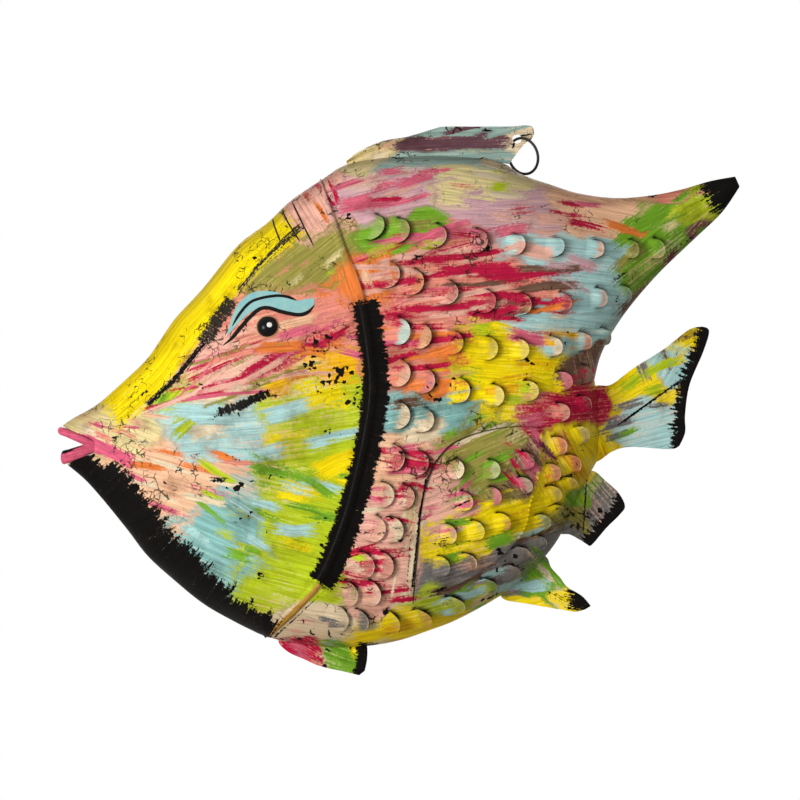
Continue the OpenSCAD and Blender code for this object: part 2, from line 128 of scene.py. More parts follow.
# Dished flank: depth grows with a smooth distance from the seam
dish = {
    "halfDepth": 64, "reach": 112, "sheet": 1.2, "fit": 0.3, "calmRim": 30, "thinRim": 6,
    "snoutShare": 0.45, "snoutFrom": -404, "snoutTo": -225,
    "rearShare": 0.18, "rearRoot": (72, -122), "rearTip": (194, -38), "rearSpan": (-0.3, 0.9),
    "dents": ((48, 1.0), (16, 0.3)), "dentSeed": 11, "darkInside": (0.5, 1),  # dents by width and depth
}
seamParts = [("forehead", 56, 1), ("lipFront", 1, 1), ("jaw", 48, 1), ("belly", 48, -1), ("tailRoot", 8, -1),
             ("finRear", 28, -1), ("back", 56, -1)]  # outline, steps and way round
seam = np.concatenate([curve(outline[name], steps)[::way] for name, steps, way in seamParts])
seamStep = np.roll(seam, -1, 0) - seam
seamLength = np.linalg.norm(seamStep, axis=1)
seamWay = seamStep / seamLength[:, None]
seamTurn = np.sign((seam[:, 0] * np.roll(seam[:, 1], -1) - np.roll(seam[:, 0], -1) * seam[:, 1]).sum())


def seamNormal(p):
    near = np.linalg.norm(p[:, None] - (seam + seamStep / 2)[None], axis=2).argmin(1)
    return seamTurn * np.stack([seamWay[near, 1], np.zeros(len(p)), -seamWay[near, 0]], -1)


def fromSeam(p):
    # every stretch of the seam pulls by its nearness, so the distance has no creases
    out = np.empty(len(p))
    batch, touch = 4000, 1e-3
    for lo in range(0, len(p), batch):
        d = p[lo:lo + batch, None] - seam[None]
        s1 = -(d * seamWay).sum(-1)
        s2 = s1 + seamLength
        r1 = np.maximum(np.linalg.norm(d, axis=-1), touch)
        h2 = np.maximum(r1 ** 2 - s1 ** 2, touch ** 2)
        r2 = np.sqrt(h2 + s2 ** 2)
        beside = s1 * s2 < 0
        away = r1 * r2 * (s2 * r1 + s1 * r2)
        pull = np.where(beside, (s2 / r2 - s1 / r1) / h2, (s2 ** 2 - s1 ** 2) / np.where(beside, 1, away))
        out[lo:lo + batch] = np.sqrt(2 / pull.sum(-1))
    return out


def hills(p, size, seed):
    # smooth random hills of one size, the same on every run
    cells = 128
    table = np.random.default_rng(seed).uniform(-1, 1, (cells, cells))
    q = np.asarray(p, float) / size + cells // 2
    i = np.floor(q).astype(int)
    f = q - i
    f = f * f * (3 - 2 * f)
    near = lambda dx, dz: table[(i[:, 0] + dx) % cells, (i[:, 1] + dz) % cells]
    top = near(0, 0) * (1 - f[:, 0]) + near(1, 0) * f[:, 0]
    low = near(0, 1) * (1 - f[:, 0]) + near(1, 1) * f[:, 0]
    return top * (1 - f[:, 1]) + low * f[:, 1]


def depthAt(p):
    rim = fromSeam(p)
    f = 1 - np.minimum(1, rim / dish["reach"])
    root, tip = np.array(dish["rearRoot"]), np.array(dish["rearTip"])
    run = np.linalg.norm(tip - root)
    toTip = (p - root) @ ((tip - root) / run)
    snout = mix(dish["snoutShare"], 1, ease(dish["snoutFrom"], dish["snoutTo"], p[:, 0]))
    rear = mix(1, dish["rearShare"], ease(*(run * share for share in dish["rearSpan"]), toTip))
    dents = sum(high * hills(p, size, dish["dentSeed"] + i) for i, (size, high) in enumerate(dish["dents"]))
    return dish["halfDepth"] * snout * rear * np.sqrt(1 - f * f) + dents * np.minimum(1, rim / dish["calmRim"])


def flank(p):
    p = np.asarray(p, float).reshape(-1, 2)
    return np.stack([p[:, 0], -depthAt(p), p[:, 1]], -1)


def flankNormal(p, probe=1.0):
    p = np.asarray(p, float).reshape(-1, 2)
    dx, dz = np.array([probe, 0]), np.array([0, probe])
    slopeX = (depthAt(p + dx) - depthAt(p - dx)) / (2 * probe)
    slopeZ = (depthAt(p + dz) - depthAt(p - dz)) / (2 * probe)
    return unit(np.stack([-slopeX, -np.ones(len(p)), -slopeZ], -1))


def offFlank(plane, *heights):
    # the flank's points under a plane, moved out by each height
    ground, n = (field(plane).reshape(*plane.shape[:-1], 3) for field in (flank, flankNormal))
    return [ground + n * np.asarray(high)[..., None] for high in heights]


# A piece gathers points and faces, with marks for dark places (bare iron inside, painted shade in cuts and undersides),
# worn rims that also serve as a painted highlight, and painted shade with a dusty line along the seam
marks = ("dark", "worn", "soil")


def newPiece():
    return {"points": [], "faces": [], "tab": [], "count": 0, **{mark: [] for mark in marks}}


def addPoints(piece, points, dark=0.0, worn=0.0, tab=-1, soil=0.0):
    grid = np.shape(points)[:-1]
    points = np.asarray(points, float).reshape(-1, 3)
    ids = piece["count"] + np.arange(len(points)).reshape(grid)
    piece["points"].append(points)
    for mark, value in zip(marks, (dark, worn, soil)):
        piece[mark].append(np.broadcast_to(np.asarray(value, float).ravel(), len(points)))
    piece["tab"].append(np.full(len(points), tab))
    piece["count"] += len(points)
    return ids


def quads(ids):
    return np.stack([ids[:-1, :-1], ids[:-1, 1:], ids[1:, 1:], ids[1:, :-1]], -1).reshape(-1, 4)


def around(ids):
    return np.concatenate([ids, ids[:, :1]], 1)


def addFan(piece, ring, place):
    tip = np.full(len(ring), addPoints(piece, place))
    piece["faces"].append(np.stack([ring, np.roll(ring, 1), tip, tip], -1))


def addSheet(piece, outer, inner, dark=0.0, worn=0.0, innerDark=1.0, tab=-1, soil=0.0):
    # closed sheet between two grids of points
    top = addPoints(piece, outer, dark, worn, tab, soil)
    # the inner side is dark by default: bare iron inside the shells, and painted shade under the scales and the
    # pectoral leaf
    low = addPoints(piece, inner, innerDark, worn, tab)
    rimOf = lambda ids: np.concatenate([ids[0, :-1], ids[:-1, -1], ids[-1, :0:-1], ids[:0:-1, 0]])
    a, b = rimOf(top), rimOf(low)
    wall = np.stack([a, b, np.roll(b, -1), np.roll(a, -1)], -1)
    piece["faces"] += [quads(top), quads(low)[:, ::-1], wall]


def addTube(piece, path, radius, sides, wide=None, dark=0.0, closed=False):
    # round bar along a path; wide stretches it sideways
    path = np.asarray(path, float)
    n = len(path)
    radius = np.broadcast_to(np.asarray(radius, float), n)
    wide = radius if wide is None else np.broadcast_to(np.asarray(wide, float), n)
    t = unit(np.roll(path, -1, 0) - np.roll(path, 1, 0) if closed else np.gradient(path, axis=0))
    side = unit(np.cross([0, 0, 1], t))
    up = np.cross(t, side)
    a = fullTurn(sides)
    rings = (path[:, None] + side[:, None] * (np.cos(a) * wide[:, None])[..., None]
             + up[:, None] * (np.sin(a) * radius[:, None])[..., None])
    ids = addPoints(piece, rings, dark)
    loop = around(ids)
    if closed:
        piece["faces"].append(quads(np.concatenate([loop, loop[:1]])))
        return
    piece["faces"].append(quads(loop))
    addFan(piece, ids[0], path[0])
    addFan(piece, ids[-1][::-1], path[-1])


crease = math.radians(50)  # folds sharper than this stay sharp
fieldOf = {"FLOAT": "value", "FLOAT_COLOR": "color", "FLOAT_VECTOR": "vector"}


def addLayer(mesh, name, kind, values):
    layer = mesh.attributes.new(name, kind, "POINT")
    layer.data.foreach_set(fieldOf[kind], np.asarray(values, np.float32).ravel())


def addObject(name, data):
    obj = bpy.data.objects.new(name, data)
    bpy.context.scene.collection.objects.link(obj)
    return obj


def buildObject(name, piece):
    # pairs are drawn on the left side, and the right one is mirrored
    points = np.concatenate(piece["points"])
    if name.startswith("right"):
        points = points * [1, -1, 1]
    faces = []
    for group in piece["faces"]:
        for face in group.tolist():
            faces.append(face[:3] if face[2] == face[3] else face)
    mesh = bpy.data.meshes.new(name)
    mesh.from_pydata(toFrame(points).tolist(), [], faces)
    work = bmesh.new()
    work.from_mesh(mesh)
    bmesh.ops.recalc_face_normals(work, faces=work.faces)
    work.to_mesh(mesh)
    work.free()
    mesh.polygons.foreach_set("use_smooth", np.ones(len(mesh.polygons), bool))
    mesh.set_sharp_from_angle(angle=crease)
    for mark in marks:
        addLayer(mesh, mark, "FLOAT", np.concatenate(piece[mark]))
    return addObject(name, mesh)


def linear(hexColour):
    # sRGB to the linear values that the shaders take
    c = np.array([int(hexColour[i:i + 2], 16) for i in (1, 3, 5)]) / 255
    return np.where(c <= 0.04045, c / 12.92, ((c + 0.055) / 1.055) ** 2.4)


# Paint: sRGB of each pot, as it dried
pots = {
    "cream": "#EBD6B2", "straw": "#E4D295", "peach": "#F0BC96", "salmon": "#EA8F7B", "rose": "#E0687F",
    "crimson": "#C21A42", "plum": "#7A3048", "orange": "#EA7F3A", "amber": "#F3B512", "yellow": "#FBDF0C",
    "lime": "#B9CB22", "green": "#78AC2A", "olive": "#9E9648", "sky": "#AED6D3", "teal": "#86B9B4", "blush": "#EDB29E",
    "slate": "#7C7977", "mauve": "#D6A8AE", "umber": "#775746", "pink": "#E0607F", "black": "#0D0A08",
    "soot": "#35332B", "gold": "#E0AC50", "maroon": "#6B4850", "dove": "#9DB8AE",
}

# Patches of free brushwork: middle, reach along and across, slope, strokes, width, length and pots
patches = [
    (-192, -62, 30, 30, -58, 12, 7, 34, "blush crimson orange crimson cream"),
    (-196, -108, 36, 30, 38, 14, 8, 28, "olive straw salmon olive lime"),
    (-206, -166, 52, 28, 15, 12, 9, 60, "salmon rose peach crimson salmon"),
    (-250, -200, 74, 26, 21, 30, 5, 110, "blush crimson rose crimson olive rose"),
    (-268, -254, 50, 32, 4, 8, 18, 60, "sky sky cream sky"),
    (-184, -250, 40, 48, 8, 9, 20, 55, "lime yellow lime sky"),
    (-196, -202, 42, 21, 8, 8, 13, 46, "amber yellow orange amber"),
    (-192, -330, 48, 46, -14, 20, 12, 60, "lime green sky lime yellow green"),
    (-246, -330, 40, 34, -24, 14, 9, 46, "teal green lime sky green"),
    (-292, -296, 54, 32, -16, 20, 7, 48, "peach orange salmon orange cream rose"),
    (-352, -256, 40, 24, -20, 18, 7, 36, "straw rose peach pink cream salmon"),
    (-292, -226, 32, 24, 48, 6, 9, 34, "lime green olive"),
    (-108, -48, 46, 15, 12, 18, 8, 50, "mauve rose crimson rose blush"),
    (-38, -38, 54, 20, -8, 10, 9, 46, "straw cream lime cream olive salmon"),
    (-100, -86, 36, 16, 4, 5, 13, 40, "green lime olive"),
    (-124, -124, 20, 40, -72, 8, 8, 32, "orange salmon peach"),
    (-68, -126, 54, 36, 7, 46, 8, 80, "salmon crimson crimson rose crimson blush"),
    (-2, -68, 46, 24, 0, 11, 11, 44, "mauve rose blush mauve"),
    (66, -60, 44, 22, -10, 13, 8, 44, "peach orange crimson orange rose crimson"),
    (40, -112, 48, 28, -6, 9, 14, 46, "sky mauve sky blush"),
    (116, -88, 44, 24, 38, 9, 11, 46, "green lime green olive"),
    (152, -62, 40, 15, 34, 7, 10, 40, "lime green straw"),
    (130, -48, 66, 6, 6, 7, 6, 40, "salmon cream rose"),
    # umber strip along the rear fin's lower edge: painted shade where the side turns away
    (128, -118, 56, 5, 46, 4, 6, 40, "umber slate plum"),
    (2, -134, 50, 24, 2, 30, 8, 70, "salmon crimson crimson orange crimson umber"),
    (40, -164, 48, 22, -3, 9, 12, 44, "sky mauve rose sky"),
    (-92, -178, 40, 30, 4, 20, 7, 60, "salmon crimson rose crimson orange"),
    (-14, -200, 54, 38, -4, 13, 15, 50, "yellow amber yellow lime"),
    (-66, -204, 26, 20, 10, 5, 11, 32, "orange amber salmon"),
    (-78, -244, 40, 18, 12, 6, 15, 40, "teal sky cream umber"),
    (42, -230, 36, 24, 5, 8, 12, 36, "crimson rose salmon"),
    (-104, -282, 30, 26, -4, 18, 7, 50, "peach crimson rose crimson"),
    (-34, -278, 40, 30, 24, 26, 7, 40, "olive green rose green cream"),
    (2, -284, 17, 26, -52, 16, 6, 34, "umber crimson rose plum green"),
    (-72, -312, 22, 42, 18, 20, 5, 34, "blush rose crimson cream rose"),
    (-32, -342, 46, 22, 13, 8, 13, 40, "yellow amber green"),
    (46, -278, 26, 38, -62, 8, 13, 40, "yellow amber orange"),
    (-14, -376, 60, 26, 16, 16, 8, 50, "slate sky mauve sky umber slate"),
    (-64, -424, 80, 14, 12, 7, 13, 48, "yellow amber straw"),
    (-122, -356, 30, 46, 3, 34, 7, 44, "blush crimson rose crimson crimson cream"),
    (-176, -430, 34, 14, -8, 7, 8, 34, "cream slate blush"),
    (-42, -400, 46, 14, 14, 6, 12, 34, "lime sky green"),
    (66, -196, 14, 60, -76, 5, 11, 50, "umber slate mauve"),
    (114, -214, 42, 18, 30, 7, 11, 40, "yellow amber lime"),
    (112, -250, 46, 16, 14, 8, 8, 38, "sky rose green slate"),
    (142, -206, 14, 40, 62, 4, 11, 30, "sky teal"),
    (60, -310, 13, 14, -48, 4, 8, 20, "green lime"),
    (48, -334, 13, 9, -40, 3, 7, 18, "olive amber"),
    (78, -320, 10, 22, -48, 4, 7, 22, "slate sky"),
    (24, -386, 26, 15, -42, 9, 8, 26, "green lime green cream"),
    (46, -405, 24, 9, -28, 6, 5, 24, "yellow straw plum cream"),
    (-188, -452, 20, 16, -30, 6, 8, 26, "crimson rose crimson"),
    (-160, -452, 18, 12, -20, 4, 8, 22, "green teal"),
    (-93, -350, 56, 6, 84, 6, 5, 48, "cream straw peach"),
    (-72, 8, 90, 5, 3, 2, 7, 60, "dove sky dove"),
    # maroon band along the dorsal fin's valley: partly the fin's paint, partly painted shade of the valley
    (-62, -4, 74, 6, 3, 4, 5, 90, "maroon maroon umber"),
    (-58, -20, 66, 8, -1, 3, 8, 60, "dove teal dove"),
    (-130, -14, 26, 9, 20, 4, 8, 30, "straw peach cream"),
    (6, 3, 15, 11, 0, 3, 8, 14, "cream straw"),
]
potsOf = [patch[-1].split() for patch in patches]
firstPot = [names[0] for names in potsOf]
brush = {
    "bristle": 1.9, "pull": 60.0, "softSide": 0.28, "softEnd": 15.0, "past": 6, "grains": 50, "patchGrain": 3.7,
    "tooth": 0.4, "bandBristle": 1.7, "tone": (1.8, 0.1), "ridge": 1.2, "freeCoats": 4,
    "washWobble": ((26, 10), (9, 4)), "washCover": (0.92, 0.34), "washFadeMm": 34, "washBlend": 0.55,
    "washNext": 0.55, "calmZ": (-10, -60), "calmLeft": 0.15, "sideSeed": 7, "fadeSeed": 3,
    "crispness": [2.0, 1.6, 2.7, 2.7, 2.7, 2.7, 1.8, 4, 9],  # washes, free coats, dabs on the scales, markings
    "free": {"wander": 3, "reach": 0.9, "turn": 8, "bow": 0.06, "run": (0.35, 0.6), "width": (0.7, 1.35),
             "load": (0.42, 1.05)},
    "dabs": {"count": 84, "turn": 14, "run": (4, 13), "width": (4, 9), "load": (0.25, 0.62), "soft": (3.2, 6)},
    "flecks": {"count": 130, "bend": 0.5, "run": (2, 6), "width": (2.2, 3.4), "load": (0.6, 1.0), "soft": (1.4, 3)},
}
crackled = "cream straw peach blush olive dove salmon".split()
noiseLow, noiseSpread = 0.35, 0.3  # where a fractal noise starts, and how far it ranges


def layStroke(path, width, pot, load, softSide=None, softEnd=None, across=False, seed=0.0):
    return {
        "path": np.asarray(path, float), "half": width / 2, "colour": linear(pots[pot]), "load": load,
        "softSide": softSide or brush["softSide"] * width, "softEnd": softEnd or brush["softEnd"], "across": across,
        "seed": seed,
    }


def bristleGrain(run, off, seed):
    return np.stack([run / brush["pull"], off / brush["bristle"], np.full(len(run), seed)], -1)


def freeStrokes(seed):
    # each patch's strokes spread over the coats
    draw = np.random.default_rng(seed)
    free = brush["free"]
    coats = [[] for _ in range(brush["freeCoats"])]
    for (x, z, reachX, reachZ, slope, count, width, length, _), names in zip(patches, potsOf):
        way = heading(math.radians(slope))
        middle = np.array([x, z]) + draw.normal(0, free["wander"], 2)
        for _ in range(count):
            spot = (middle + way * draw.uniform(-free["reach"], free["reach"]) * reachX
                    + leftOf(way) * draw.uniform(-1, 1) * reachZ)
            run = heading(math.radians(slope + draw.normal(0, free["turn"]))) * length * draw.uniform(*free["run"])
            bow = leftOf(run) * draw.normal(0, free["bow"])
            pot = names[draw.integers(len(names))]
            broad, load = width * draw.uniform(*free["width"]), draw.uniform(*free["load"])
            stroke = layStroke([spot - run, spot + bow, spot + run], broad, pot, load,
                               seed=draw.uniform(0, brush["grains"]))
            coats[draw.integers(brush["freeCoats"])].append(stroke)
    return coats


def patchFields(spots, p):
    # for every patch and point: how far off it is in the patch's own reach, and the grain of its bristles
    far, grains = [], []
    for i, (x, z, reachX, reachZ, slope, *_) in enumerate(patches):
        way = heading(math.radians(slope))
        side = leftOf(way)
        d = spots - [x, z]
        far.append(np.hypot(d @ way / reachX, d @ side / reachZ))
        grains.append(bristleGrain(p @ way, p @ side, brush["patchGrain"] * i))
    return np.array(far), np.array(grains)


def washFields(p, seed):
    # two first washes: every point takes a pot of the nearest patch, and near its edge one of the next
    calm = mix(brush["calmLeft"], 1, ease(*brush["calmZ"], p[:, 1]))[:, None]
    wobble = lambda size, first: np.stack([hills(p, size, first), hills(p, size, first + brush["sideSeed"])], -1)
    spots = p + calm * sum(far * wobble(size, seed + i) for i, (size, far) in enumerate(brush["washWobble"]))
    colours = np.array([linear(pots[pot]) for pot in firstPot])
    old = np.array([pot in crackled for pot in firstPot], float)
    far, grains = patchFields(spots, p)
    order = np.argsort(far, axis=0)[:2]
    every = np.arange(len(p))
    full, vary = brush["washCover"]
    worn = vary * hills(p, brush["washFadeMm"], seed + brush["fadeSeed"])
    lead = (far[order[1], every] - far[order[0], every]) / brush["washBlend"]
    covers = (full + worn, brush["washNext"] - lead + worn)
    washes = [(colours[near], cover, grains[near, every]) for near, cover in zip(order, covers)]
    return washes, old[order[0]]


# The fish's own markings: path, width, pot, load, soft side and end, bristles across the path, grain
jawLine, gillRidge = curve(outline["jaw"], 24), curve(outline["gillLine"], 39)[30:]
markRows = {
    "colour": [
        (curve(outline["forehead"], 30)[3:26], 72, "yellow", 0.95, 12, 18, False, 3),
        ([(-392, -262), (-376, -266), (-352, -277), (-330, -288)], 19, "pink", 0.95, 6, 14, False, 7),
        ([(-398, -280), (-378, -272)], 12, "pink", 1.0, 4, 8, False, 9),
        (gillRidge, 7, "gold", 1.0, 2, 5, False, 11),
    ],
    "black": [
        # jaw and gill bands
        (jawLine[:7], 54, "black", 1.02, 12, 4, True, 1),
        (jawLine[3:18], 84, "black", 1.02, 19, 8, True, 1),
        (jawLine[9:21], 72, "black", 1.02, 17, 8, True, 1),
        ([*jawLine[13:], (-216, -443)], 54, "black", 1.02, 14, 8, True, 1),
        (curve(outline["gillLine"], 28)[7:23], 31, "black", 1.05, 8, 10, True, 2),
        (gillRidge + [5.5, -1.5], 3, "black", 0.7, 1.5, 5, False, 12),
        # strokes behind the forehead and under the eye
        ([(-326, -236), (-300, -212), (-283, -191), (-266, -170)], 11, "black", 0.72, 4.5, 5, False, 4),
        ([(-276, -184), (-262, -160), (-246, -138)], 19, "soot", 0.72, 5, 7, True, 13),
        ([(-248, -138), (-226, -112), (-206, -92), (-186, -74)], 13, "soot", 0.62, 5, 8, False, 14),
        ([(-266, -242), (-240, -234), (-212, -221)], 12, "black", 0.8, 3.5, 8, True, 19),
        # tips of the rear, tail and anal fins
        ([(230, -12), (203, -30), (184, -46), (160, -61)], 56, "black", 1.0, 5, 20, False, 5),
        ([(178, -145), (165, -187), (153, -216), (149, -242), (146, -290)], 36, "black", 1.0, 13, 6, True, 6),
        ([(99, -306), (91, -331), (80, -342), (60, -362)], 32, "black", 1.0, 12, 5, True, 8),
        ([(84, -424), (56, -407), (38, -403)], 21, "black", 1.0, 5, 14, False, 9),
        # dark lines along the pectoral fin's front, painted shade of the gap under its lifted edge; lines on the tail
        # and upper anal fins
        ([(-80, -291), (-86, -330), (-89, -364), (-93, -400)], 3.6, "black", 1.1, 1.2, 14, False, 15),
        ([(-87, -291), (-93, -340), (-98, -404)], 2.6, "black", 0.75, 1.2, 14, False, 20),
        ([(-86, -284), (-78, -296)], 9, "black", 0.6, 4, 6, False, 21),
        ([(88, -253), (118, -231), (154, -206)], 4, "black", 0.8, 1.5, 6, False, 16),
        ([(70, -327), (76, -327)], 6, "black", 1.2, 2, 2, False, 17),
        ([(61, -298), (58, -348)], 3.4, "soot", 0.8, 1.5, 5, False, 18),
        # rear edge of the pelvic fin
        ([(-138, -484), (-131, -458), (-131, -440)], 26, "black", 1.0, 7, 5, True, 10),
    ],
}


def markings(seed):
    # the markings, with dry dabs anywhere and flecks on the crackled pots
    draw = np.random.default_rng(seed)
    colour, black = ([layStroke(*row) for row in table] for table in markRows.values())
    dab, fleck = brush["dabs"], brush["flecks"]
    for _ in range(dab["count"]):
        x, z, reachX, reachZ, slope = patches[draw.integers(len(patches))][:5]
        run = heading(math.radians(slope + draw.normal(0, dab["turn"]))) * draw.uniform(*dab["run"])
        spot = np.array([x, z]) + draw.uniform(-1, 1, 2) * [reachX, reachZ]
        black.append(layStroke([spot - run, spot + run], draw.uniform(*dab["width"]), "black",
                               draw.uniform(*dab["load"]), *dab["soft"], seed=draw.uniform(0, brush["grains"])))
    aged = [patch for patch, pot in zip(patches, firstPot) if pot in crackled]
    for _ in range(fleck["count"]):
        x, z, reachX, reachZ = aged[draw.integers(len(aged))][:4]
        run = heading(draw.uniform(0, math.pi)) * draw.uniform(*fleck["run"])
        spot = np.array([x, z]) + draw.uniform(-1, 1, 2) * [reachX, reachZ]
        bend = leftOf(run) * draw.normal(0, fleck["bend"])
        black.append(layStroke([spot - run, spot + bend, spot + run], draw.uniform(*fleck["width"]), "black",
                               draw.uniform(*fleck["load"]), *fleck["soft"], seed=draw.uniform(0, brush["grains"])))
    return [colour, black]


def strokeField(p, path):
    # run along a path and signed distance to its side, past both ends too
    endless = 1e9
    best = np.full(len(p), endless)
    run, off = np.zeros(len(p)), np.zeros(len(p))
    start = 0.0
    last = len(path) - 2
    for i in range(last + 1):
        v = path[i + 1] - path[i]
        l = np.linalg.norm(v)
        w = v / l
        d = p - path[i]
        s = np.clip(d @ w, 0 if i else -endless, l if i < last else endless)
        gap = d - s[:, None] * w
        far = np.linalg.norm(gap, axis=1)
        closer = far < best
        best = np.where(closer, far, best)
        run = np.where(closer, start + s, run)
        off = np.where(closer, far * np.sign(w[0] * d[:, 1] - w[1] * d[:, 0]), off)
        start += l
    return run, off, start


def bareCoat(count):
    # a coat with no paint on it yet: colour, cover and grain
    return np.zeros((count, 3)), np.full(count, -1.0), np.zeros((count, 3))


def paintCoats(p, coats):
    # for every coat and point: the pot's colour, how well it covers, and where along the bristles it is
    fields = []
    for coat in coats:
        colour, cover, grain = bareCoat(len(p))
        for stroke in coat:
            path = stroke["path"]
            edge = stroke["half"] + brush["past"]
            lo, hi = path.min(0) - edge, path.max(0) + edge
            pick = np.nonzero(((p > lo) & (p < hi)).all(1))[0]
            if len(pick) == 0:
                continue
            run, off, length = strokeField(p[pick], path)
            side = (stroke["half"] - np.abs(off)) / stroke["softSide"]
            end = np.minimum(run, length - run) / stroke["softEnd"]
            c = stroke["load"] * np.clip(np.minimum(side, end), -1, 1)
            better = c > cover[pick]
            pick, c, run, off = pick[better], c[better], run[better], off[better]
            cover[pick] = c
            colour[pick] = stroke["colour"]
            if stroke["across"]:
                run, off = off, run / brush["bandBristle"]
            grain[pick] = bristleGrain(run, off, stroke["seed"])
        fields.append((colour, cover, grain))
    return fields


def strokesOn(coats, side):
    # free strokes that belong to the head (-1) or to the body (1), and all markings
    gill = np.array(outline["gillLine"])[::-1]
    beyond = lambda spot: side * (spot[0] - np.interp(spot[1], gill[:, 1], gill[:, 0]))
    free = [[stroke for stroke in coat if beyond(stroke["path"][1]) > 0] for coat in coats[:brush["freeCoats"]]]
    return free + coats[brush["freeCoats"]:]


def addPaint(obj, coats, seed, tabDabs=None):
    # writes the coats on the mesh for the paint material to read
    mesh = obj.data
    co = np.empty(len(mesh.vertices) * 3)
    mesh.vertices.foreach_get("co", co)
    p = (co.reshape(-1, 3) / mm - hole)[:, [0, 2]]
    washes, old = washFields(p, seed)
    fields = washes + paintCoats(p, coats)
    fields.insert(len(washes) + brush["freeCoats"], tabDabs or bareCoat(len(p)))
    addLayer(mesh, "old", "FLOAT", old)
    for k, (colour, cover, grain) in enumerate(fields):
        level = cover + noiseLow / noiseSpread
        addLayer(mesh, f"coat{k}", "FLOAT_COLOR", np.concatenate([colour, level[:, None]], 1))
        addLayer(mesh, f"grain{k}", "FLOAT_VECTOR", grain)


def addNode(tree, kind, settings=None, inputs=None):
    # a node among the inputs stands for its first output
    node = tree.nodes.new("ShaderNode" + kind)
    for key, value in (settings or {}).items():
        setattr(node, key, value)
    for key, value in (inputs or {}).items():
        if isinstance(value, bpy.types.Node):
            value = value.outputs[0]
        if isinstance(value, bpy.types.NodeSocket):
            tree.links.new(value, node.inputs[key])
        else:
            node.inputs[key].default_value = value
    return node


def newMaterial(name):
    material = bpy.data.materials.new(name)
    material.use_nodes = True
    material.node_tree.nodes.clear()
    return material, material.node_tree


def rgba(pot):
    return (*linear(pot), 1)


def perMetre(length):
    return 1 / (length * mm)


# Enamel brushed on sheet iron by hand: satin, streaked by the bristles, crackled and chipped to the black under it
enamel = {
    "ground": "#E9D2AC", "groundWarm": "#E9B08F", "chip": "#120D0A", "crack": "#2B1D14", "bare": "#0B0908",
    "rimPale": "#E2CFB4", "grime": "#8C7357", "roughness": 0.34, "specular": 0.05, "shadeAndDustMatt": 0.4,
    "crackMm": 6.5, "warpMm": 4, "crackWidth": 0.05, "crackDepth": 0.25,
    "chipMm": 4.2, "chipSpread": 0.3, "chipFrom": 0.97, "chipMore": 0.05, "chipSoft": 0.005, "chipDepth": 0.2,
    "reliefMm": 0.9, "relief": 0.7,
    "noises": {  # width in mm, detail and roughness
        "mottle": (30, 5.0, 0.5), "tooth": (2.4, 3.0, 0.65), "haze": (36, 6.0, 0.65), "warp": (5.2, 4.0, 0.5),
        "crackField": (44, 4.0, 0.5), "breaks": (8, 3.0, 0.5), "chipField": (42, 4.0, 0.6)},
}
smooth, colourMix = {"interpolation_type": "SMOOTHSTEP"}, {"data_type": "RGBA"}
times, timesPlus = {"operation": "MULTIPLY"}, {"operation": "MULTIPLY_ADD"}


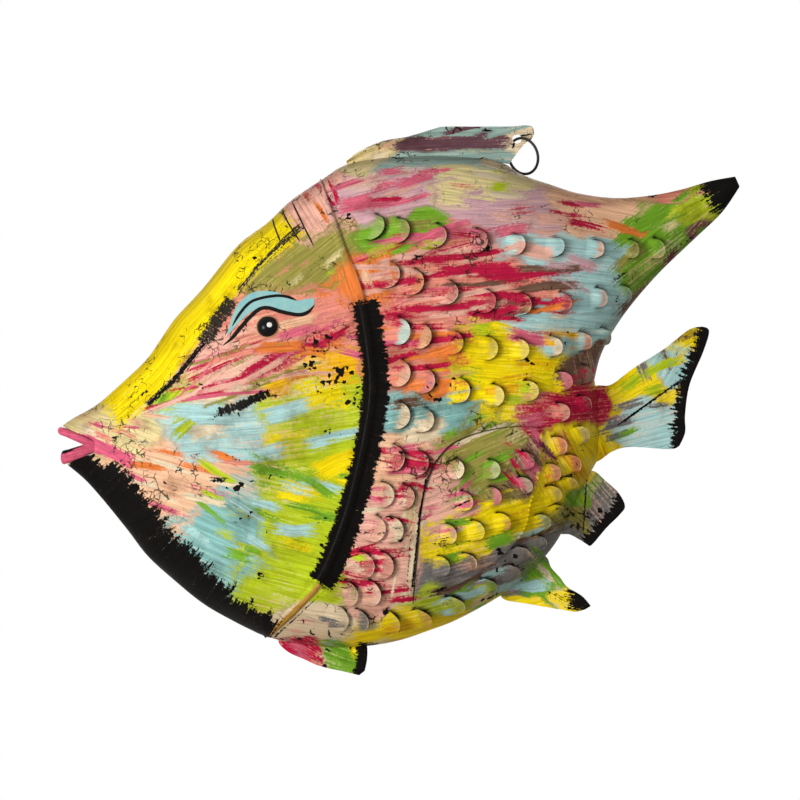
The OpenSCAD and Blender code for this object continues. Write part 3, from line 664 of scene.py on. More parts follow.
def brushedEnamel(name, chips=1.0, cracks=1.0):
    material, tree = newMaterial(name)
    place = addNode(tree, "TexCoord").outputs["Object"]
    noise = {}
    for key, (length, detail, roughness) in enamel["noises"].items():
        noise[key] = addNode(tree, "TexNoise", None, {"Vector": place, "Scale": perMetre(length), "Detail": detail,
                                                      "Roughness": roughness})
    mark = {key: addNode(tree, "Attribute", {"attribute_name": key}).outputs["Fac"] for key in ("old", *marks)}
    patchy = addNode(tree, "MapRange", smooth, {"Value": noise["mottle"], "From Min": 0.42, "From Max": 0.6})
    ground = addNode(tree, "Mix", colourMix, {0: patchy, 6: rgba(enamel["ground"]), 7: rgba(enamel["groundWarm"])})
    colour, height = ground.outputs[2], noise["tooth"]
    for k, crispness in enumerate(brush["crispness"]):
        coat, grain = (addNode(tree, "Attribute", {"attribute_name": f"{layer}{k}"}) for layer in ("coat", "grain"))
        bristle = addNode(tree, "TexNoise", None, {"Vector": grain.outputs["Vector"], "Scale": 1.0,
                                                   "Detail": 4.0, "Roughness": 0.68})
        rough = addNode(tree, "Math", timesPlus,
                        {0: noise["tooth"], 1: -brush["tooth"] / noiseSpread, 2: coat.outputs["Alpha"]})
        spare = addNode(tree, "Math", timesPlus, {0: bristle, 1: (brush["tooth"] - 1) / noiseSpread, 2: rough})
        cover = addNode(tree, "Math", {**timesPlus, "use_clamp": True}, {0: spare, 1: crispness, 2: 0.5})
        tone = addNode(tree, "Math", timesPlus, {0: bristle, 1: brush["tone"][0], 2: brush["tone"][1]})
        streaky = addNode(tree, "VectorMath", {"operation": "SCALE"}, {0: coat.outputs["Color"], "Scale": tone})
        colour = addNode(tree, "Mix", colourMix, {0: cover, 6: colour, 7: streaky}).outputs[2]
        ridge = addNode(tree, "Math", times, {0: bristle, 1: brush["ridge"]})
        height = addNode(tree, "Mix", {"data_type": "FLOAT"}, {0: cover, 2: height, 3: ridge})
    # grime: brown haze in broad patches; and painted shade in the folds, beside the scales and low at the rear, with
    # dust along the seam
    haze = addNode(tree, "MapRange", smooth,
                   {"Value": noise["haze"], "From Min": 0.48, "From Max": 0.72, "To Max": 0.55})
    brown = addNode(tree, "Math", {"operation": "MAXIMUM"}, {0: haze, 1: mark["soil"]})
    colour = addNode(tree, "Mix", {**colourMix, "blend_type": "MULTIPLY"},
                     {0: brown, 6: colour, 7: rgba(enamel["grime"])}).outputs[2]
    # crackle: fine dark lines in patches, broken along their run
    shifted = addNode(tree, "VectorMath", timesPlus,
                      {0: noise["warp"].outputs["Color"], 1: (enamel["warpMm"] * mm,) * 3, 2: place})
    cells = addNode(tree, "TexVoronoi", {"feature": "DISTANCE_TO_EDGE"},
                    {"Vector": shifted, "Scale": perMetre(enamel["crackMm"])})
    width = addNode(tree, "MapRange", None, {"Value": noise["crackField"], "From Min": 0.45, "From Max": 0.7,
                                             "To Max": enamel["crackWidth"] * cracks})
    aged = addNode(tree, "MapRange", None, {"Value": mark["old"], "To Min": 0.2, "To Max": 1.15})
    broken = addNode(tree, "MapRange", None, {"Value": noise["breaks"], "From Min": 0.42, "From Max": 0.64,
                                              "To Min": -0.3, "To Max": 3.2})
    crackAged = addNode(tree, "Math", times, {0: width, 1: aged})
    reach = addNode(tree, "Math", times, {0: crackAged, 1: broken})
    edge = addNode(tree, "Math", {"operation": "SUBTRACT"}, {0: reach, 1: cells.outputs["Distance"]})
    crack = addNode(tree, "MapRange", smooth, {"Value": edge, "From Min": -0.005, "From Max": 0.03, "To Max": 0.85})
    # chips: angular flecks down to the black, in clusters
    flakes = addNode(tree, "TexVoronoi", {"feature": "F1"}, {"Vector": shifted, "Scale": perMetre(enamel["chipMm"])})
    flake = addNode(tree, "SeparateColor", None, {0: flakes.outputs["Color"]})
    chipSum = addNode(tree, "Math", timesPlus, {0: flake, 1: enamel["chipSpread"], 2: noise["chipField"]})
    chipFrom = enamel["chipFrom"] - enamel["chipMore"] * chips
    chip = addNode(tree, "MapRange", smooth, {"Value": chipSum, "From Min": chipFrom,
                                              "From Max": chipFrom + enamel["chipSoft"]})
    # worn rims, rubbed in places: the pale edge of each scale, also a painted highlight
    rubbed = addNode(tree, "Math", times, {0: mark["worn"], 1: noise["mottle"]})
    rim = addNode(tree, "MapRange", smooth, {"Value": rubbed, "From Min": 0.42, "From Max": 0.6})
    # the dark mark takes a near-black: bare iron inside the shells, and painted shade in the cuts, gaps and undersides
    for share, over in ((crack, "crack"), (chip, "chip"), (rim, "rimPale"), (mark["dark"], "bare")):
        colour = addNode(tree, "Mix", colourMix, {0: share, 6: colour, 7: rgba(enamel[over])}).outputs[2]
    for share, depth in ((crack, "crackDepth"), (chip, "chipDepth")):
        height = addNode(tree, "Math", timesPlus, {0: share, 1: -enamel[depth], 2: height})
    bump = addNode(tree, "Bump", None,
                   {"Strength": enamel["relief"], "Distance": enamel["reliefMm"] * mm, "Height": height})
    gloss = addNode(tree, "MapRange", None,
                    {"Value": noise["mottle"], "From Min": 0.3, "From Max": 0.7,
                     "To Min": enamel["roughness"] - 0.1, "To Max": enamel["roughness"] + 0.12})
    matt = addNode(tree, "Math", timesPlus, {0: mark["soil"], 1: enamel["shadeAndDustMatt"], 2: gloss})
    surface = addNode(tree, "BsdfPrincipled", None,
                      {"Base Color": colour, "Roughness": matt, "Normal": bump,
                       "Specular IOR Level": enamel["specular"]})
    addNode(tree, "OutputMaterial", None, {0: surface})
    return material


# Head and body shells: rows run from the head's edge over the gill line to the body's edge
shell = {
    "rows": 300, "lastRow": 32, "mouthRows": (14, 20), "headSteps": 78, "bodySteps": 112, "edgeSteps": 60,
    "crowding": 1.7, "shortRow": 80, "lead": 28, "lap": 10, "lapSteps": 4, "gillSteps": 24,
    "rollWidth": 7.5, "rollHeight": 2.4, "rollShift": 0.85, "rollLeft": 0.35,
    "rearShade": 0.45, "rearShadeRim": (60, 6), "rearShadeSpan": (220, 330), "rearLean": 0.5, "dust": 0.4, "dustRim": (12, 3),
    "headEdge": [("forehead", 0, 14), ("mouthEdge", 15, 19), ("jaw", 20, 32)],
    "gillEdge": [("gillLine", 0, 32)],
    "bodyEdge": [("back", 0, 11), ("finRear", 12, 18), ("tailRoot", 19, 21), ("belly", 22, 32)],
}


def edgeAt(pieces, rows):
    stops, places = [], []
    for name, first, last in pieces:
        s = np.linspace(0, 1, shell["edgeSteps"])
        stops.append(mix(first, last, s))
        places.append(along(outline[name], s * (len(outline[name]) - 1)))
    stops, places = np.concatenate(stops), np.concatenate(places)
    return np.stack([np.interp(rows, stops, places[:, k]) for k in (0, 1)], -1)


rows = np.linspace(0, shell["lastRow"], shell["rows"] + 1)
headEdge, gillEdge, bodyEdge = (edgeAt(shell[name], rows) for name in ("headEdge", "gillEdge", "bodyEdge"))
headRun = headEdge - gillEdge
headLength = np.linalg.norm(headRun, axis=1)
rowShare = np.minimum(1, headLength / shell["shortRow"])


def onSurface(plane, seamMask):
    g = flank(plane).reshape(*plane.shape[:2], 3)
    g[seamMask, 1] = 0
    n = unit(np.cross(np.gradient(g, axis=0), np.gradient(g, axis=1)))
    n[seamMask] = seamNormal(plane[seamMask])
    thin = dish["sheet"] * ease(0, dish["thinRim"], fromSeam(plane.reshape(-1, 2))).reshape(plane.shape[:2])
    return g, n, np.where(seamMask, 0, thin)


def lifted(g, n, lift):
    out = g + n * np.asarray(lift)[..., None]
    out[..., 1] = np.minimum(out[..., 1], 0)
    return out


def paintedShadeAndDust(p):
    # painted shade, brown and low at the rear, and a dusty line along the seam
    p = p.reshape(-1, 2)
    rim = fromSeam(p)
    lowRear = ease(*shell["rearShadeRim"], rim) * ease(*shell["rearShadeSpan"], -p[:, 1] + shell["rearLean"] * p[:, 0])
    return np.maximum(shell["rearShade"] * lowRear, shell["dust"] * ease(*shell["dustRim"], rim))


def addShell(piece, outer, inner, thin, plane, dark=0.0, soil=0.0):
    addSheet(piece, outer, inner, dark, innerDark=ease(*dish["darkInside"], thin / dish["sheet"]),
             soil=np.maximum(soil, paintedShadeAndDust(plane)))


def overGill(s):
    # grid that runs from the gill line towards the mouth by each distance
    return gillEdge[:, None] + headRun[:, None] * (s[None] * (rowShare / headLength)[:, None])[..., None]


def headSheet(piece):
    toEdge = (np.arange(shell["headSteps"]) / shell["headSteps"]) ** shell["crowding"]
    free = headLength - shell["lead"] * rowShare
    front = gillEdge[:, None] + headRun[:, None] * (1 - toEdge[None] * (free / headLength)[:, None])[..., None]
    s = np.linspace(shell["lead"], 0, shell["gillSteps"])
    plane = np.concatenate([front, overGill(s)], 1)
    seamMask = np.zeros(plane.shape[:2], bool)
    seamMask[[0, -1]] = True
    mouthFrom, mouthTo = shell["mouthRows"]
    seamMask[(rows <= mouthFrom) | (rows >= mouthTo), 0] = True
    g, n, thin = onSurface(plane, seamMask)
    lap = (dish["sheet"] + dish["fit"]) * ease(shell["lead"], shell["lap"], s)
    half = shell["rollWidth"] / 2
    roll = shell["rollHeight"] * np.sqrt(np.maximum(0, 1 - ((s - half * shell["rollShift"]) / half) ** 2))
    still = np.zeros(shell["headSteps"])
    fade = mix(shell["rollLeft"], 1, rowShare)[:, None]
    outer = lifted(g, n, np.concatenate([still, lap + roll])[None] * fade)
    inner = lifted(g, n, np.concatenate([still, lap])[None] * fade - thin)
    addShell(piece, outer, inner, thin, plane)


# Punched scales: half-round tabs that rise towards the tail
scale = {
    "rows": [
        ((-128, -80), (-4, -95), (120, -97), 9), ((-115, -121), (-15, -146), (92, -139), 8),
        ((-106, -170), (-15, -186), (74, -177), 8), ((-106, -206), (-23, -226), (58, -208), 7),
        ((-106, -243), (-23, -254), (56, -235), 7), ((-111, -280), (-26, -290), (53, -262), 7),
        ((-119, -312), (-37, -316), (45, -287), 8), ((-127, -341), (-40, -343), (43, -306), 9),
        ((-137, -373), (-46, -370), (33, -330), 9), ((-151, -398), (-60, -392), (16, -357), 8),
        ((-160, -420), (-88, -421), (-8, -382), 7)],
    "front": 23, "rear": 17, "from": -120, "to": 60, "clear": 1.5, "onFin": 0.85, "across": 17, "along": 11,
    "lift": 5.2, "root": 0.15, "crown": 2.2, "liftBend": 1.9, "crownBend": 1.4, "sideBend": 6, "rootThin": 0.3,
    "wornFrom": 0.86, "widthVary": (0.95, 1.06), "liftVary": (0.8, 1.15), "turn": (-6, 5), "wayStep": 0.1, "seed": 5,
    # painted shade in the cut and painted shadow round the free edge, in mm and in widths of the tab
    "search": 1.6, "gap": 2.8, "lowGap": 0.9, "gapTurn": (-0.3, 0.3), "cutEdge": 0.2, "cutFrom": (0.42, 0.55),
    "notch": (0.5, 0.52), "notchEdge": (2.7, 1.5), "shadowMm": 8, "soil": 0.5, "shadowFrom": (0.3, 0.7),
    # dab of paint on each tab
    "stray": "cream sky rose straw salmon lime", "strayShare": 0.18, "dabPale": (0.1, 0.55), "dabLoad": (0.2, 1.1),
    "dabFrom": (0.1, 0.85), "bodyDabs": 8, "finDabs": 9,
}
pectoral = {
    "front": [(-93, -404), (-90, -370), (-85, -318), (-75, -286)],
    "top": [(-75, -286), (-59, -268), (-33, -257), (-2, -252), (20, -255)],
    "rear": [(20, -255), (17, -291), (10, -318), (3, -344), (-20, -368), (-55, -390), (-93, -404)],
    "sheet": 1.5, "seat": 1, "flare": 4, "flareBend": 3, "rowSteps": 110, "columnSteps": 60, "darkFront": (0.035, 0.01),
    "lastRow": 10, "frontRows": 6, "frontPace": 0.5, "rearPace": 0.54,
    "weld": 1.7, "weldSwell": (0.7, 0.35), "weldBeads": 17, "weldSpan": (0.7, 3.3), "weldSteps": 160, "weldHigh": 1.6,
    "weldSides": 8, "outlineSteps": 12,
}
pectoralOutline = np.concatenate([curve(pectoral[k], pectoral["outlineSteps"])[:-1] for k in ("front", "top", "rear")])


def insideOutline(p, shape):
    a, b = shape, np.roll(shape, -1, 0)
    span = (a[:, 1] > p[1]) != (b[:, 1] > p[1])
    x = a[:, 0] + (p[1] - a[:, 1]) * (b[:, 0] - a[:, 0]) / np.where(span, b[:, 1] - a[:, 1], 1)
    return (span & (p[0] < x)).sum() % 2 == 1


def toOutline(p, shape):
    v = np.roll(shape, -1, 0) - shape
    f = np.clip(((p - shape) * v).sum(1) / np.maximum((v * v).sum(1), 1e-9), 0, 1)
    return np.linalg.norm(p - shape - f[:, None] * v, axis=1).min()


def tabWidth(place):
    return mix(scale["front"], scale["rear"], ease(scale["from"], scale["to"], place[0]))


def scalePlaces():
    # place, way and whether it lies on the pectoral fin
    places = []
    for first, middle, last, count in scale["rows"]:
        for i in range(count):
            s = 2 * i / (count - 1)
            before, p, after = along([first, middle, last], [s - scale["wayStep"], s, s + scale["wayStep"]])
            inside, far = insideOutline(p, pectoralOutline), toOutline(p, pectoralOutline)
            if far > (scale["onFin"] * tabWidth(p) / 2 if inside else tabWidth(p) / 2 + scale["clear"]):
                places.append((p, unit(after - before), inside))
    return places


def tabFrame(place, way, base, share, draw):
    w = share * tabWidth(place) * draw.uniform(*scale["widthVary"])
    way = turned(way, math.radians(draw.normal(*scale["turn"])))
    root = place - way * w / 2
    n = flankNormal(root)[0]
    t = np.array([way[0], 0, way[1]])
    t = unit(t - n * (t @ n))
    return {"w": w, "root": root, "foot": flank(root)[0] + n * base, "t": t, "b": np.cross(n, t), "base": base,
            "lift": scale["lift"] * draw.uniform(*scale["liftVary"])}


def addTab(piece, tab, index):
    w = tab["w"]
    theta = np.linspace(-1, 1, scale["across"]) * math.pi / 2
    side = np.sin(theta)
    reach = w / 2 + w / 2 * np.cos(theta)
    s = np.linspace(0, 1, scale["along"])
    x = reach[:, None] * s[None]
    y = np.repeat((side * w / 2)[:, None], len(s), 1)
    flat = tab["root"] + x[..., None] * tab["t"][[0, 2]] + y[..., None] * tab["b"][[0, 2]]
    lip = 1 - np.abs(side) ** scale["sideBend"]
    rise = (tab["lift"] * s[None] ** scale["liftBend"] * lip[:, None]
            + scale["crown"] * (1 - side[:, None] ** 2) * np.sin(math.pi * s[None] ** scale["crownBend"]) ** 2)
    high = tab["base"] - scale["root"] + rise * (1 + scale["root"] / tab["lift"])
    thick = dish["sheet"] * mix(scale["rootThin"], 1, s)
    # pale worn rim along the free edge, which also stands as a painted highlight
    worn = np.repeat(ease(scale["wornFrom"], 1.0, s)[None], len(side), 0) * lip[:, None]
    addSheet(piece, *offFlank(flat, high, high - thick[None]), worn=worn, tab=index, soil=paintedShadeAndDust(flat))


def underTabs(points, tabs):
    # painted shade in the cut round each tab's free edge, widest at its upper end, and a painted shadow beside it
    dark, soil = np.zeros(len(points)), np.zeros(len(points))
    for tab in tabs:
        w = tab["w"]
        past = lambda limits, v: ease(limits[0] * w, limits[1] * w, v)
        d = points - tab["foot"]
        pick = np.nonzero((np.abs(d) < scale["search"] * w).all(1))[0]
        x, y = d[pick] @ tab["t"], d[pick] @ tab["b"]
        r = np.hypot(x - w / 2, y)
        gap = mix(scale["lowGap"], scale["gap"], past(scale["gapTurn"], y))
        cut = ease(w / 2 + gap, w / 2 - scale["cutEdge"], r) * past(scale["cutFrom"], x)
        notch = ease(*scale["notchEdge"], np.hypot(x - scale["notch"][0] * w, y - scale["notch"][1] * w))
        dark[pick] = np.maximum(dark[pick], np.maximum(cut, notch))
        near = ease(w / 2 + scale["shadowMm"], w / 2, r) * past(scale["shadowFrom"], x)
        soil[pick] = np.maximum(soil[pick], scale["soil"] * near)
    return dark, soil


leafJ = np.linspace(0, pectoral["lastRow"], pectoral["rowSteps"])
leafF = np.linspace(0, 1, pectoral["columnSteps"])
leafFront = np.where((leafJ <= pectoral["frontRows"])[:, None], along(pectoral["front"], leafJ * pectoral["frontPace"]),
                     along(pectoral["top"], leafJ - pectoral["frontRows"]))
leafRear = along(pectoral["rear"], (pectoral["lastRow"] - leafJ) * pectoral["rearPace"])
leafPlane = leafFront[:, None] * (1 - leafF)[None, :, None] + leafRear[:, None] * leafF[None, :, None]


def leafLift(f):
    return pectoral["seat"] + pectoral["flare"] * (1 - f) ** pectoral["flareBend"]


def leafHeight(place):
    near = np.linalg.norm(leafPlane - place, axis=2).argmin() % len(leafF)
    return leafLift(leafF[near])


draw = np.random.default_rng(scale["seed"])
bodyTabs, pectoralTabs = [], []
for place, way, onPectoral in scalePlaces():
    base = leafHeight(place) + pectoral["sheet"] if onPectoral else 0
    share = scale["onFin"] if onPectoral else 1
    (pectoralTabs if onPectoral else bodyTabs).append(tabFrame(place, way, base, share, draw))
print("scales", len(bodyTabs), "on the body and", len(pectoralTabs), "on the pectoral fin")


def bodySheet(piece):
    front = overGill(np.linspace(shell["lap"], 1, shell["lapSteps"]))
    toEdge = 1 - (np.arange(shell["bodySteps"], -1, -1) / shell["bodySteps"]) ** shell["crowding"]
    rear = gillEdge[:, None] + (bodyEdge - gillEdge)[:, None] * toEdge[None, :, None]
    plane = np.concatenate([front, rear], 1)
    seamMask = np.zeros(plane.shape[:2], bool)
    seamMask[[0, -1]] = True
    seamMask[:, -1] = True
    g, n, thin = onSurface(plane, seamMask)
    dark, soil = underTabs(g.reshape(-1, 3), bodyTabs)
    addShell(piece, lifted(g, n, 0), lifted(g, n, -thin), thin, plane, dark, soil)


def tabTint(piece, tabs, seed):
    # a paler dab of the paint around it on most tabs, and a stray pot on a few
    draw = np.random.default_rng(seed)
    places = np.array([tab["root"] for tab in tabs])
    near = patchFields(places, places)[0].argmin(0)
    index = np.concatenate(piece["tab"])
    p = np.concatenate(piece["points"])
    colour, cover, grain = bareCoat(len(p))
    for i, tab in enumerate(tabs):
        names = scale["stray"].split() if draw.uniform() < scale["strayShare"] else potsOf[near[i]]
        tint, pale = linear(pots[names[draw.integers(len(names))]]), draw.uniform(*scale["dabPale"])
        load, seedHere = draw.uniform(*scale["dabLoad"]), draw.uniform(0, brush["grains"])
        pick = np.nonzero(index == i)[0]
        d = p[pick] - tab["foot"]
        x, y = d @ tab["t"], d @ tab["b"]
        colour[pick] = mix(tint, linear(pots["cream"]), pale)
        cover[pick] = (load + 1) * ease(*(share * tab["w"] for share in scale["dabFrom"]), x) - 1
        grain[pick] = bristleGrain(x, y, seedHere)
    return colour, cover, grain


print("materials")
bodyPaint = brushedEnamel("brushed enamel on the body", chips=1.5)
headPaint = brushedEnamel("brushed enamel on the head", chips=1.5)
finPaint = brushedEnamel("brushed enamel on the fins", chips=0.8)
pectoralPaint = brushedEnamel("brushed enamel on the pectoral fins")
lipPaint = brushedEnamel("brushed enamel on the lips", chips=0.5, cracks=0.5)
seedOf = {"left": 21, "right": 34}
coatsOf = {side: freeStrokes(seed) + markings(seed + 1) for side, seed in seedOf.items()}


def finish(obj, material, slot, *nodes, body="fish"):
    obj.data.materials.append(material)
    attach(obj, body)
    if nodes:
        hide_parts(*nodes)
    print("made", obj.name, len(obj.data.polygons), "faces")


headPiece, bodyPiece = newPiece(), newPiece()
headSheet(headPiece)
bodySheet(bodyPiece)
for i, tab in enumerate(bodyTabs):
    addTab(bodyPiece, tab, i)
for side in ("left", "right"):
    head = buildObject(f"{side}HeadShell", headPiece)
    addPaint(head, strokesOn(coatsOf[side], -1), seedOf[side])
    finish(head, headPaint, "painted_head", f"{side}_head_shell")
    body = buildObject(f"{side}BodyShell", bodyPiece)
    addPaint(body, strokesOn(coatsOf[side], 1), seedOf[side], tabTint(bodyPiece, bodyTabs, scale["bodyDabs"]))
    finish(body, bodyPaint, "painted_body", f"{side}_body_shell")

# Pectoral fins: a leaf on each flank, lifted along its front edge, welded along its rear edge
leafPiece = newPiece()
leafIn, leafOut = offFlank(leafPlane, leafLift(leafF), leafLift(leafF) + pectoral["sheet"])
leafDark, leafShadeAndDust = underTabs(leafOut.reshape(-1, 3), pectoralTabs)
# a dark strip along the leaf's lifted front edge: painted shade of the gap under it
leafDark = np.maximum(leafDark, np.tile(ease(*pectoral["darkFront"], leafF), len(leafJ)))
leafShadeAndDust = np.maximum(leafShadeAndDust, paintedShadeAndDust(leafPlane))
addSheet(leafPiece, leafOut, leafIn, leafDark, soil=leafShadeAndDust)
for i, tab in enumerate(pectoralTabs):
    addTab(leafPiece, tab, i)
bead = along(pectoral["rear"], np.linspace(*pectoral["weldSpan"], pectoral["weldSteps"]))
beadPath = offFlank(bead, pectoral["weldHigh"])[0]
thin, swell = pectoral["weldSwell"]
wave = np.sin(np.linspace(0, 2 * math.pi * pectoral["weldBeads"], pectoral["weldSteps"]))
addTube(leafPiece, beadPath, pectoral["weld"] * (thin + swell * wave), pectoral["weldSides"])
for side in ("left", "right"):
    leaf = buildObject(f"{side}PectoralFin", leafPiece)
    addPaint(leaf, coatsOf[side], seedOf[side], tabTint(leafPiece, pectoralTabs, scale["finDabs"]))
    finish(leaf, pectoralPaint, "painted_pectoral", f"{side}_pectoral_fin")

# Flat fins let into the seam, each a patch between four edges
fins = {
    "tail_fin": {
        "upper": [(56, -222), (70, -217), (83, -216), (102, -202), (129, -185), (151, -168), (163, -165)],
        "lower": [(56, -282), (70, -284), (84, -275), (100, -271), (134, -273), (143, -270)],
        "root": [(56, -222), (56, -282)],
        "rear": [(163, -165), (169, -169), (164, -187), (152, -216), (148, -242), (148, -258), (143, -270)]},
    "upper_anal_fin": {
        "upper": [(50, -300), (66, -292), (77, -300)],
        "lower": [(28, -338), (37, -347), (46, -348), (54, -352), (62, -357)],
        "root": [(50, -300), (28, -338)],
        "rear": [(77, -300), (89, -311), (95, -323), (90, -331), (79, -342), (66, -357), (62, -357)]},
    "lower_anal_fin": {
        "upper": [(14, -360), (26, -368), (30, -377), (38, -386), (44, -394), (57, -402), (65, -411)],
        "lower": [(-14, -388), (-13, -404), (9, -409), (38, -414), (51, -416), (60, -414)],
        "root": [(14, -360), (-14, -388)],
        "rear": [(65, -411), (60, -414)]},
    "pelvic_fin": {
        "upper": [(-200, -430), (-210, -441), (-202, -451), (-187, -458), (-173, -464), (-151, -469), (-139, -472)],
        "lower": [(-136, -432), (-132, -446), (-132, -458), (-134, -468)],
        "root": [(-200, -430), (-136, -432)],
        "rear": [(-139, -472), (-134, -468)]},
}
finLook = {"thick": 2, "rim": 2.2, "rimThin": 0.3, "wave": 1.6, "waveMm": 38, "waveFrom": (0.25, 0.8), "waveSeed": 40,
           "steps": 72}


def camel(name):
    first, *rest = name.split("_")
    return first + "".join(word.title() for word in rest)


def patchGrid(edges, n, m):
    s, t = np.linspace(0, 1, n), np.linspace(0, 1, m)
    at = lambda name, f: along(edges[name], f * (len(edges[name]) - 1))
    u, l, r, e = at("upper", s), at("lower", s), at("root", t), at("rear", t)
    a, b = s[:, None, None], t[None, :, None]
    ruled = (1 - b) * u[:, None] + b * l[:, None] + (1 - a) * r[None] + a * e[None]
    return ruled - (1 - a) * (1 - b) * u[0] - a * (1 - b) * u[-1] - (1 - a) * b * l[0] - a * b * l[-1]


def addSlab(piece, g, half, middle=0.0):
    # sheet that stands out on both sides of a flat grid
    sides = [np.stack([g[..., 0], middle + way * half, g[..., 1]], -1) for way in (-1, 1)]
    addSheet(piece, *sides, innerDark=0.0)


def flatFin(piece, edges):
    n = finLook["steps"]
    g = patchGrid(edges, n, n)
    p = g.reshape(-1, 2)
    steps = [np.linalg.norm(np.gradient(g, axis=k), axis=2) for k in (0, 1)]
    fromTop = np.cumsum(steps[1], 1)
    fromTail = np.cumsum(steps[0][::-1], 0)[::-1]
    toRim = np.minimum(np.minimum(fromTop, np.cumsum(steps[1][:, ::-1], 1)[:, ::-1]), fromTail)
    half = finLook["thick"] / 2 * mix(finLook["rimThin"], 1, ease(0, finLook["rim"], toRim))
    loose = ease(*finLook["waveFrom"], np.linspace(0, 1, n))[:, None]
    addSlab(piece, g, half, finLook["wave"] * hills(p, finLook["waveMm"], finLook["waveSeed"]).reshape(n, n) * loose)


for name, edges in fins.items():
    piece = newPiece()
    flatFin(piece, edges)
    fin = buildObject(camel(name), piece)
    addPaint(fin, coatsOf["left"], seedOf["left"])
    finish(fin, finPaint, "painted_fin", name)

# Dorsal fin: thick along its top, hammered flat and pierced at the rear tip
dorsal = {
    "upper": [(-150, -19), (-139, -11), (-119, -2), (-97, 2), (-73, 9), (-63, 11), (-36, 11), (-6, 11), (6, 12)],
    "lower": [(-150, -24), (-121, -19), (-77, -17), (-33, -19), (-7, -22)],
    "root": [(-150, -19), (-150, -24)],
    "rear": [(6, 12), (13, 11), (15, 5), (12, -1), (6, -5), (-7, -22)],
    "levels": [(0, 1.1), (0.2, 0.5), (0.42, 0.34), (0.62, 0.6), (0.8, 1), (0.92, 0.8), (1, 0.2)],
    "bead": 10, "tip": 2.2, "flatFrom": -40, "flatTo": -14, "hole": 8, "holeSides": 40, "steps": (150, 44),
}
dorsalPiece = newPiece()
g = patchGrid(dorsal, *dorsal["steps"])
share = 1 - np.linspace(0, 1, dorsal["steps"][1])
levels = np.array(dorsal["levels"])
thick = dorsal["bead"] * np.interp(share, levels[:, 0], levels[:, 1])[None]
flat = ease(dorsal["flatFrom"], dorsal["flatTo"], g[..., 0])
half = 0.5 * (thick * (1 - flat) + dorsal["tip"] * flat)
addSlab(dorsalPiece, g, half)
dorsalFin = buildObject("dorsalFin", dorsalPiece)
drill = bpy.data.meshes.new("drill")
work = bmesh.new()
radius = dorsal["hole"] / 2 * mm
bmesh.ops.create_cone(work, cap_ends=True, segments=dorsal["holeSides"], radius1=radius, radius2=radius,
                      depth=2 * dorsal["bead"] * mm)
work.to_mesh(drill)
work.free()
drillBit = addObject("drill", drill)
drillBit.rotation_euler = (math.pi / 2, 0, 0)
drillBit.location = toFrame([(0, 0, 0)])[0]
cut = dorsalFin.modifiers.new("hole", "BOOLEAN")
cut.object = drillBit
pierced = bpy.data.meshes.new_from_object(dorsalFin.evaluated_get(bpy.context.evaluated_depsgraph_get()))
dorsalFin.modifiers.clear()
dorsalFin.data = pierced
bpy.data.objects.remove(drillBit)
addPaint(dorsalFin, coatsOf["left"], seedOf["left"])
finish(dorsalFin, finPaint, "painted_fin", "dorsal_fin")

# Lips: two bars bent round the mouth
lipLook = {
    "deep": 6, "tuck": [7, 1.5, 1, 1, 1, 1], "steps": 90, "sides": 20, "corner": (0.4, 0.9), "darkSoft": 0.2,
    "paint": (30, "pink", 1.1, 2, 1, False, 6), "paintPast": ((9, 0), (12, 0)), "seed": 60,  # as the markings are laid
}
lips = {
    "upper_lip": {"path": [(-366, -270), (-375, -267.5), (-382, -264.5), (-389, -261.5), (-395, -259), (-400.5, -257)],
                  "tall": 7, "thin": 1.0, "darkTop": (2.0, 2.0)},
    "lower_lip": {"path": [(-366, -270), (-375, -272), (-382, -274.5), (-389, -277), (-394, -278.8), (-398, -280)],
                  "tall": 12.5, "thin": 0.7, "darkTop": (0.35, 1.1)},
}
sides = lipLook["sides"]
for name, lip in lips.items():
    stops = np.array(lip["path"], float)
    leftSide = np.stack([stops[:, 0], -np.maximum(0, depthAt(stops) - lipLook["tuck"]), stops[:, 1]], -1)
    path = curve(np.concatenate([leftSide, leftSide[::-1] * [1, -1, 1]]), lipLook["steps"])
    toCorner = np.abs(np.linspace(-1, 1, len(path)))
    swell = mix(lip["thin"], 1, 1 - toCorner)
    upward = np.tile(np.sin(fullTurn(sides)), len(path))
    # the lower lip is dark on top towards the front: painted shade of the mouth's inside
    darkFrom = np.repeat(np.interp(toCorner, lipLook["corner"], lip["darkTop"]), sides)
    piece = newPiece()
    addTube(piece, path, lip["tall"] / 2 * swell, sides, lipLook["deep"] / 2,
            ease(0, lipLook["darkSoft"], upward - darkFrom))
    bar = buildObject(camel(name), piece)
    pastCorner, pastFront = np.array(lipLook["paintPast"])
    pink = [layStroke([stops[0] + pastCorner, stops[3], stops[5] - pastFront], *lipLook["paint"])]
    addPaint(bar, [[]] * brush["freeCoats"] + [pink, []], lipLook["seed"])
    finish(bar, lipPaint, "painted_lip", name)

# Eyes: gloss black domes with a painted white glint and a thin tan rim
eye = {
    "place": (-218, -166), "d": 18, "h": 7, "fit": 0.3, "rings": 40, "sides": 64, "probe": 6.0, "back": 1.5,
    "glint": 2.2, "glintShift": (-3.0, 0.3), "rim": 1.0, "rimHigh": 0.6,
    "rimOut": [0.1, 0.5, 1.0, 1.0], "rimUp": [0.7, 1.0, 0.3, -1.5],
    "black": "#070606", "white": "#F4F1EA", "tan": "#C79A76",
}
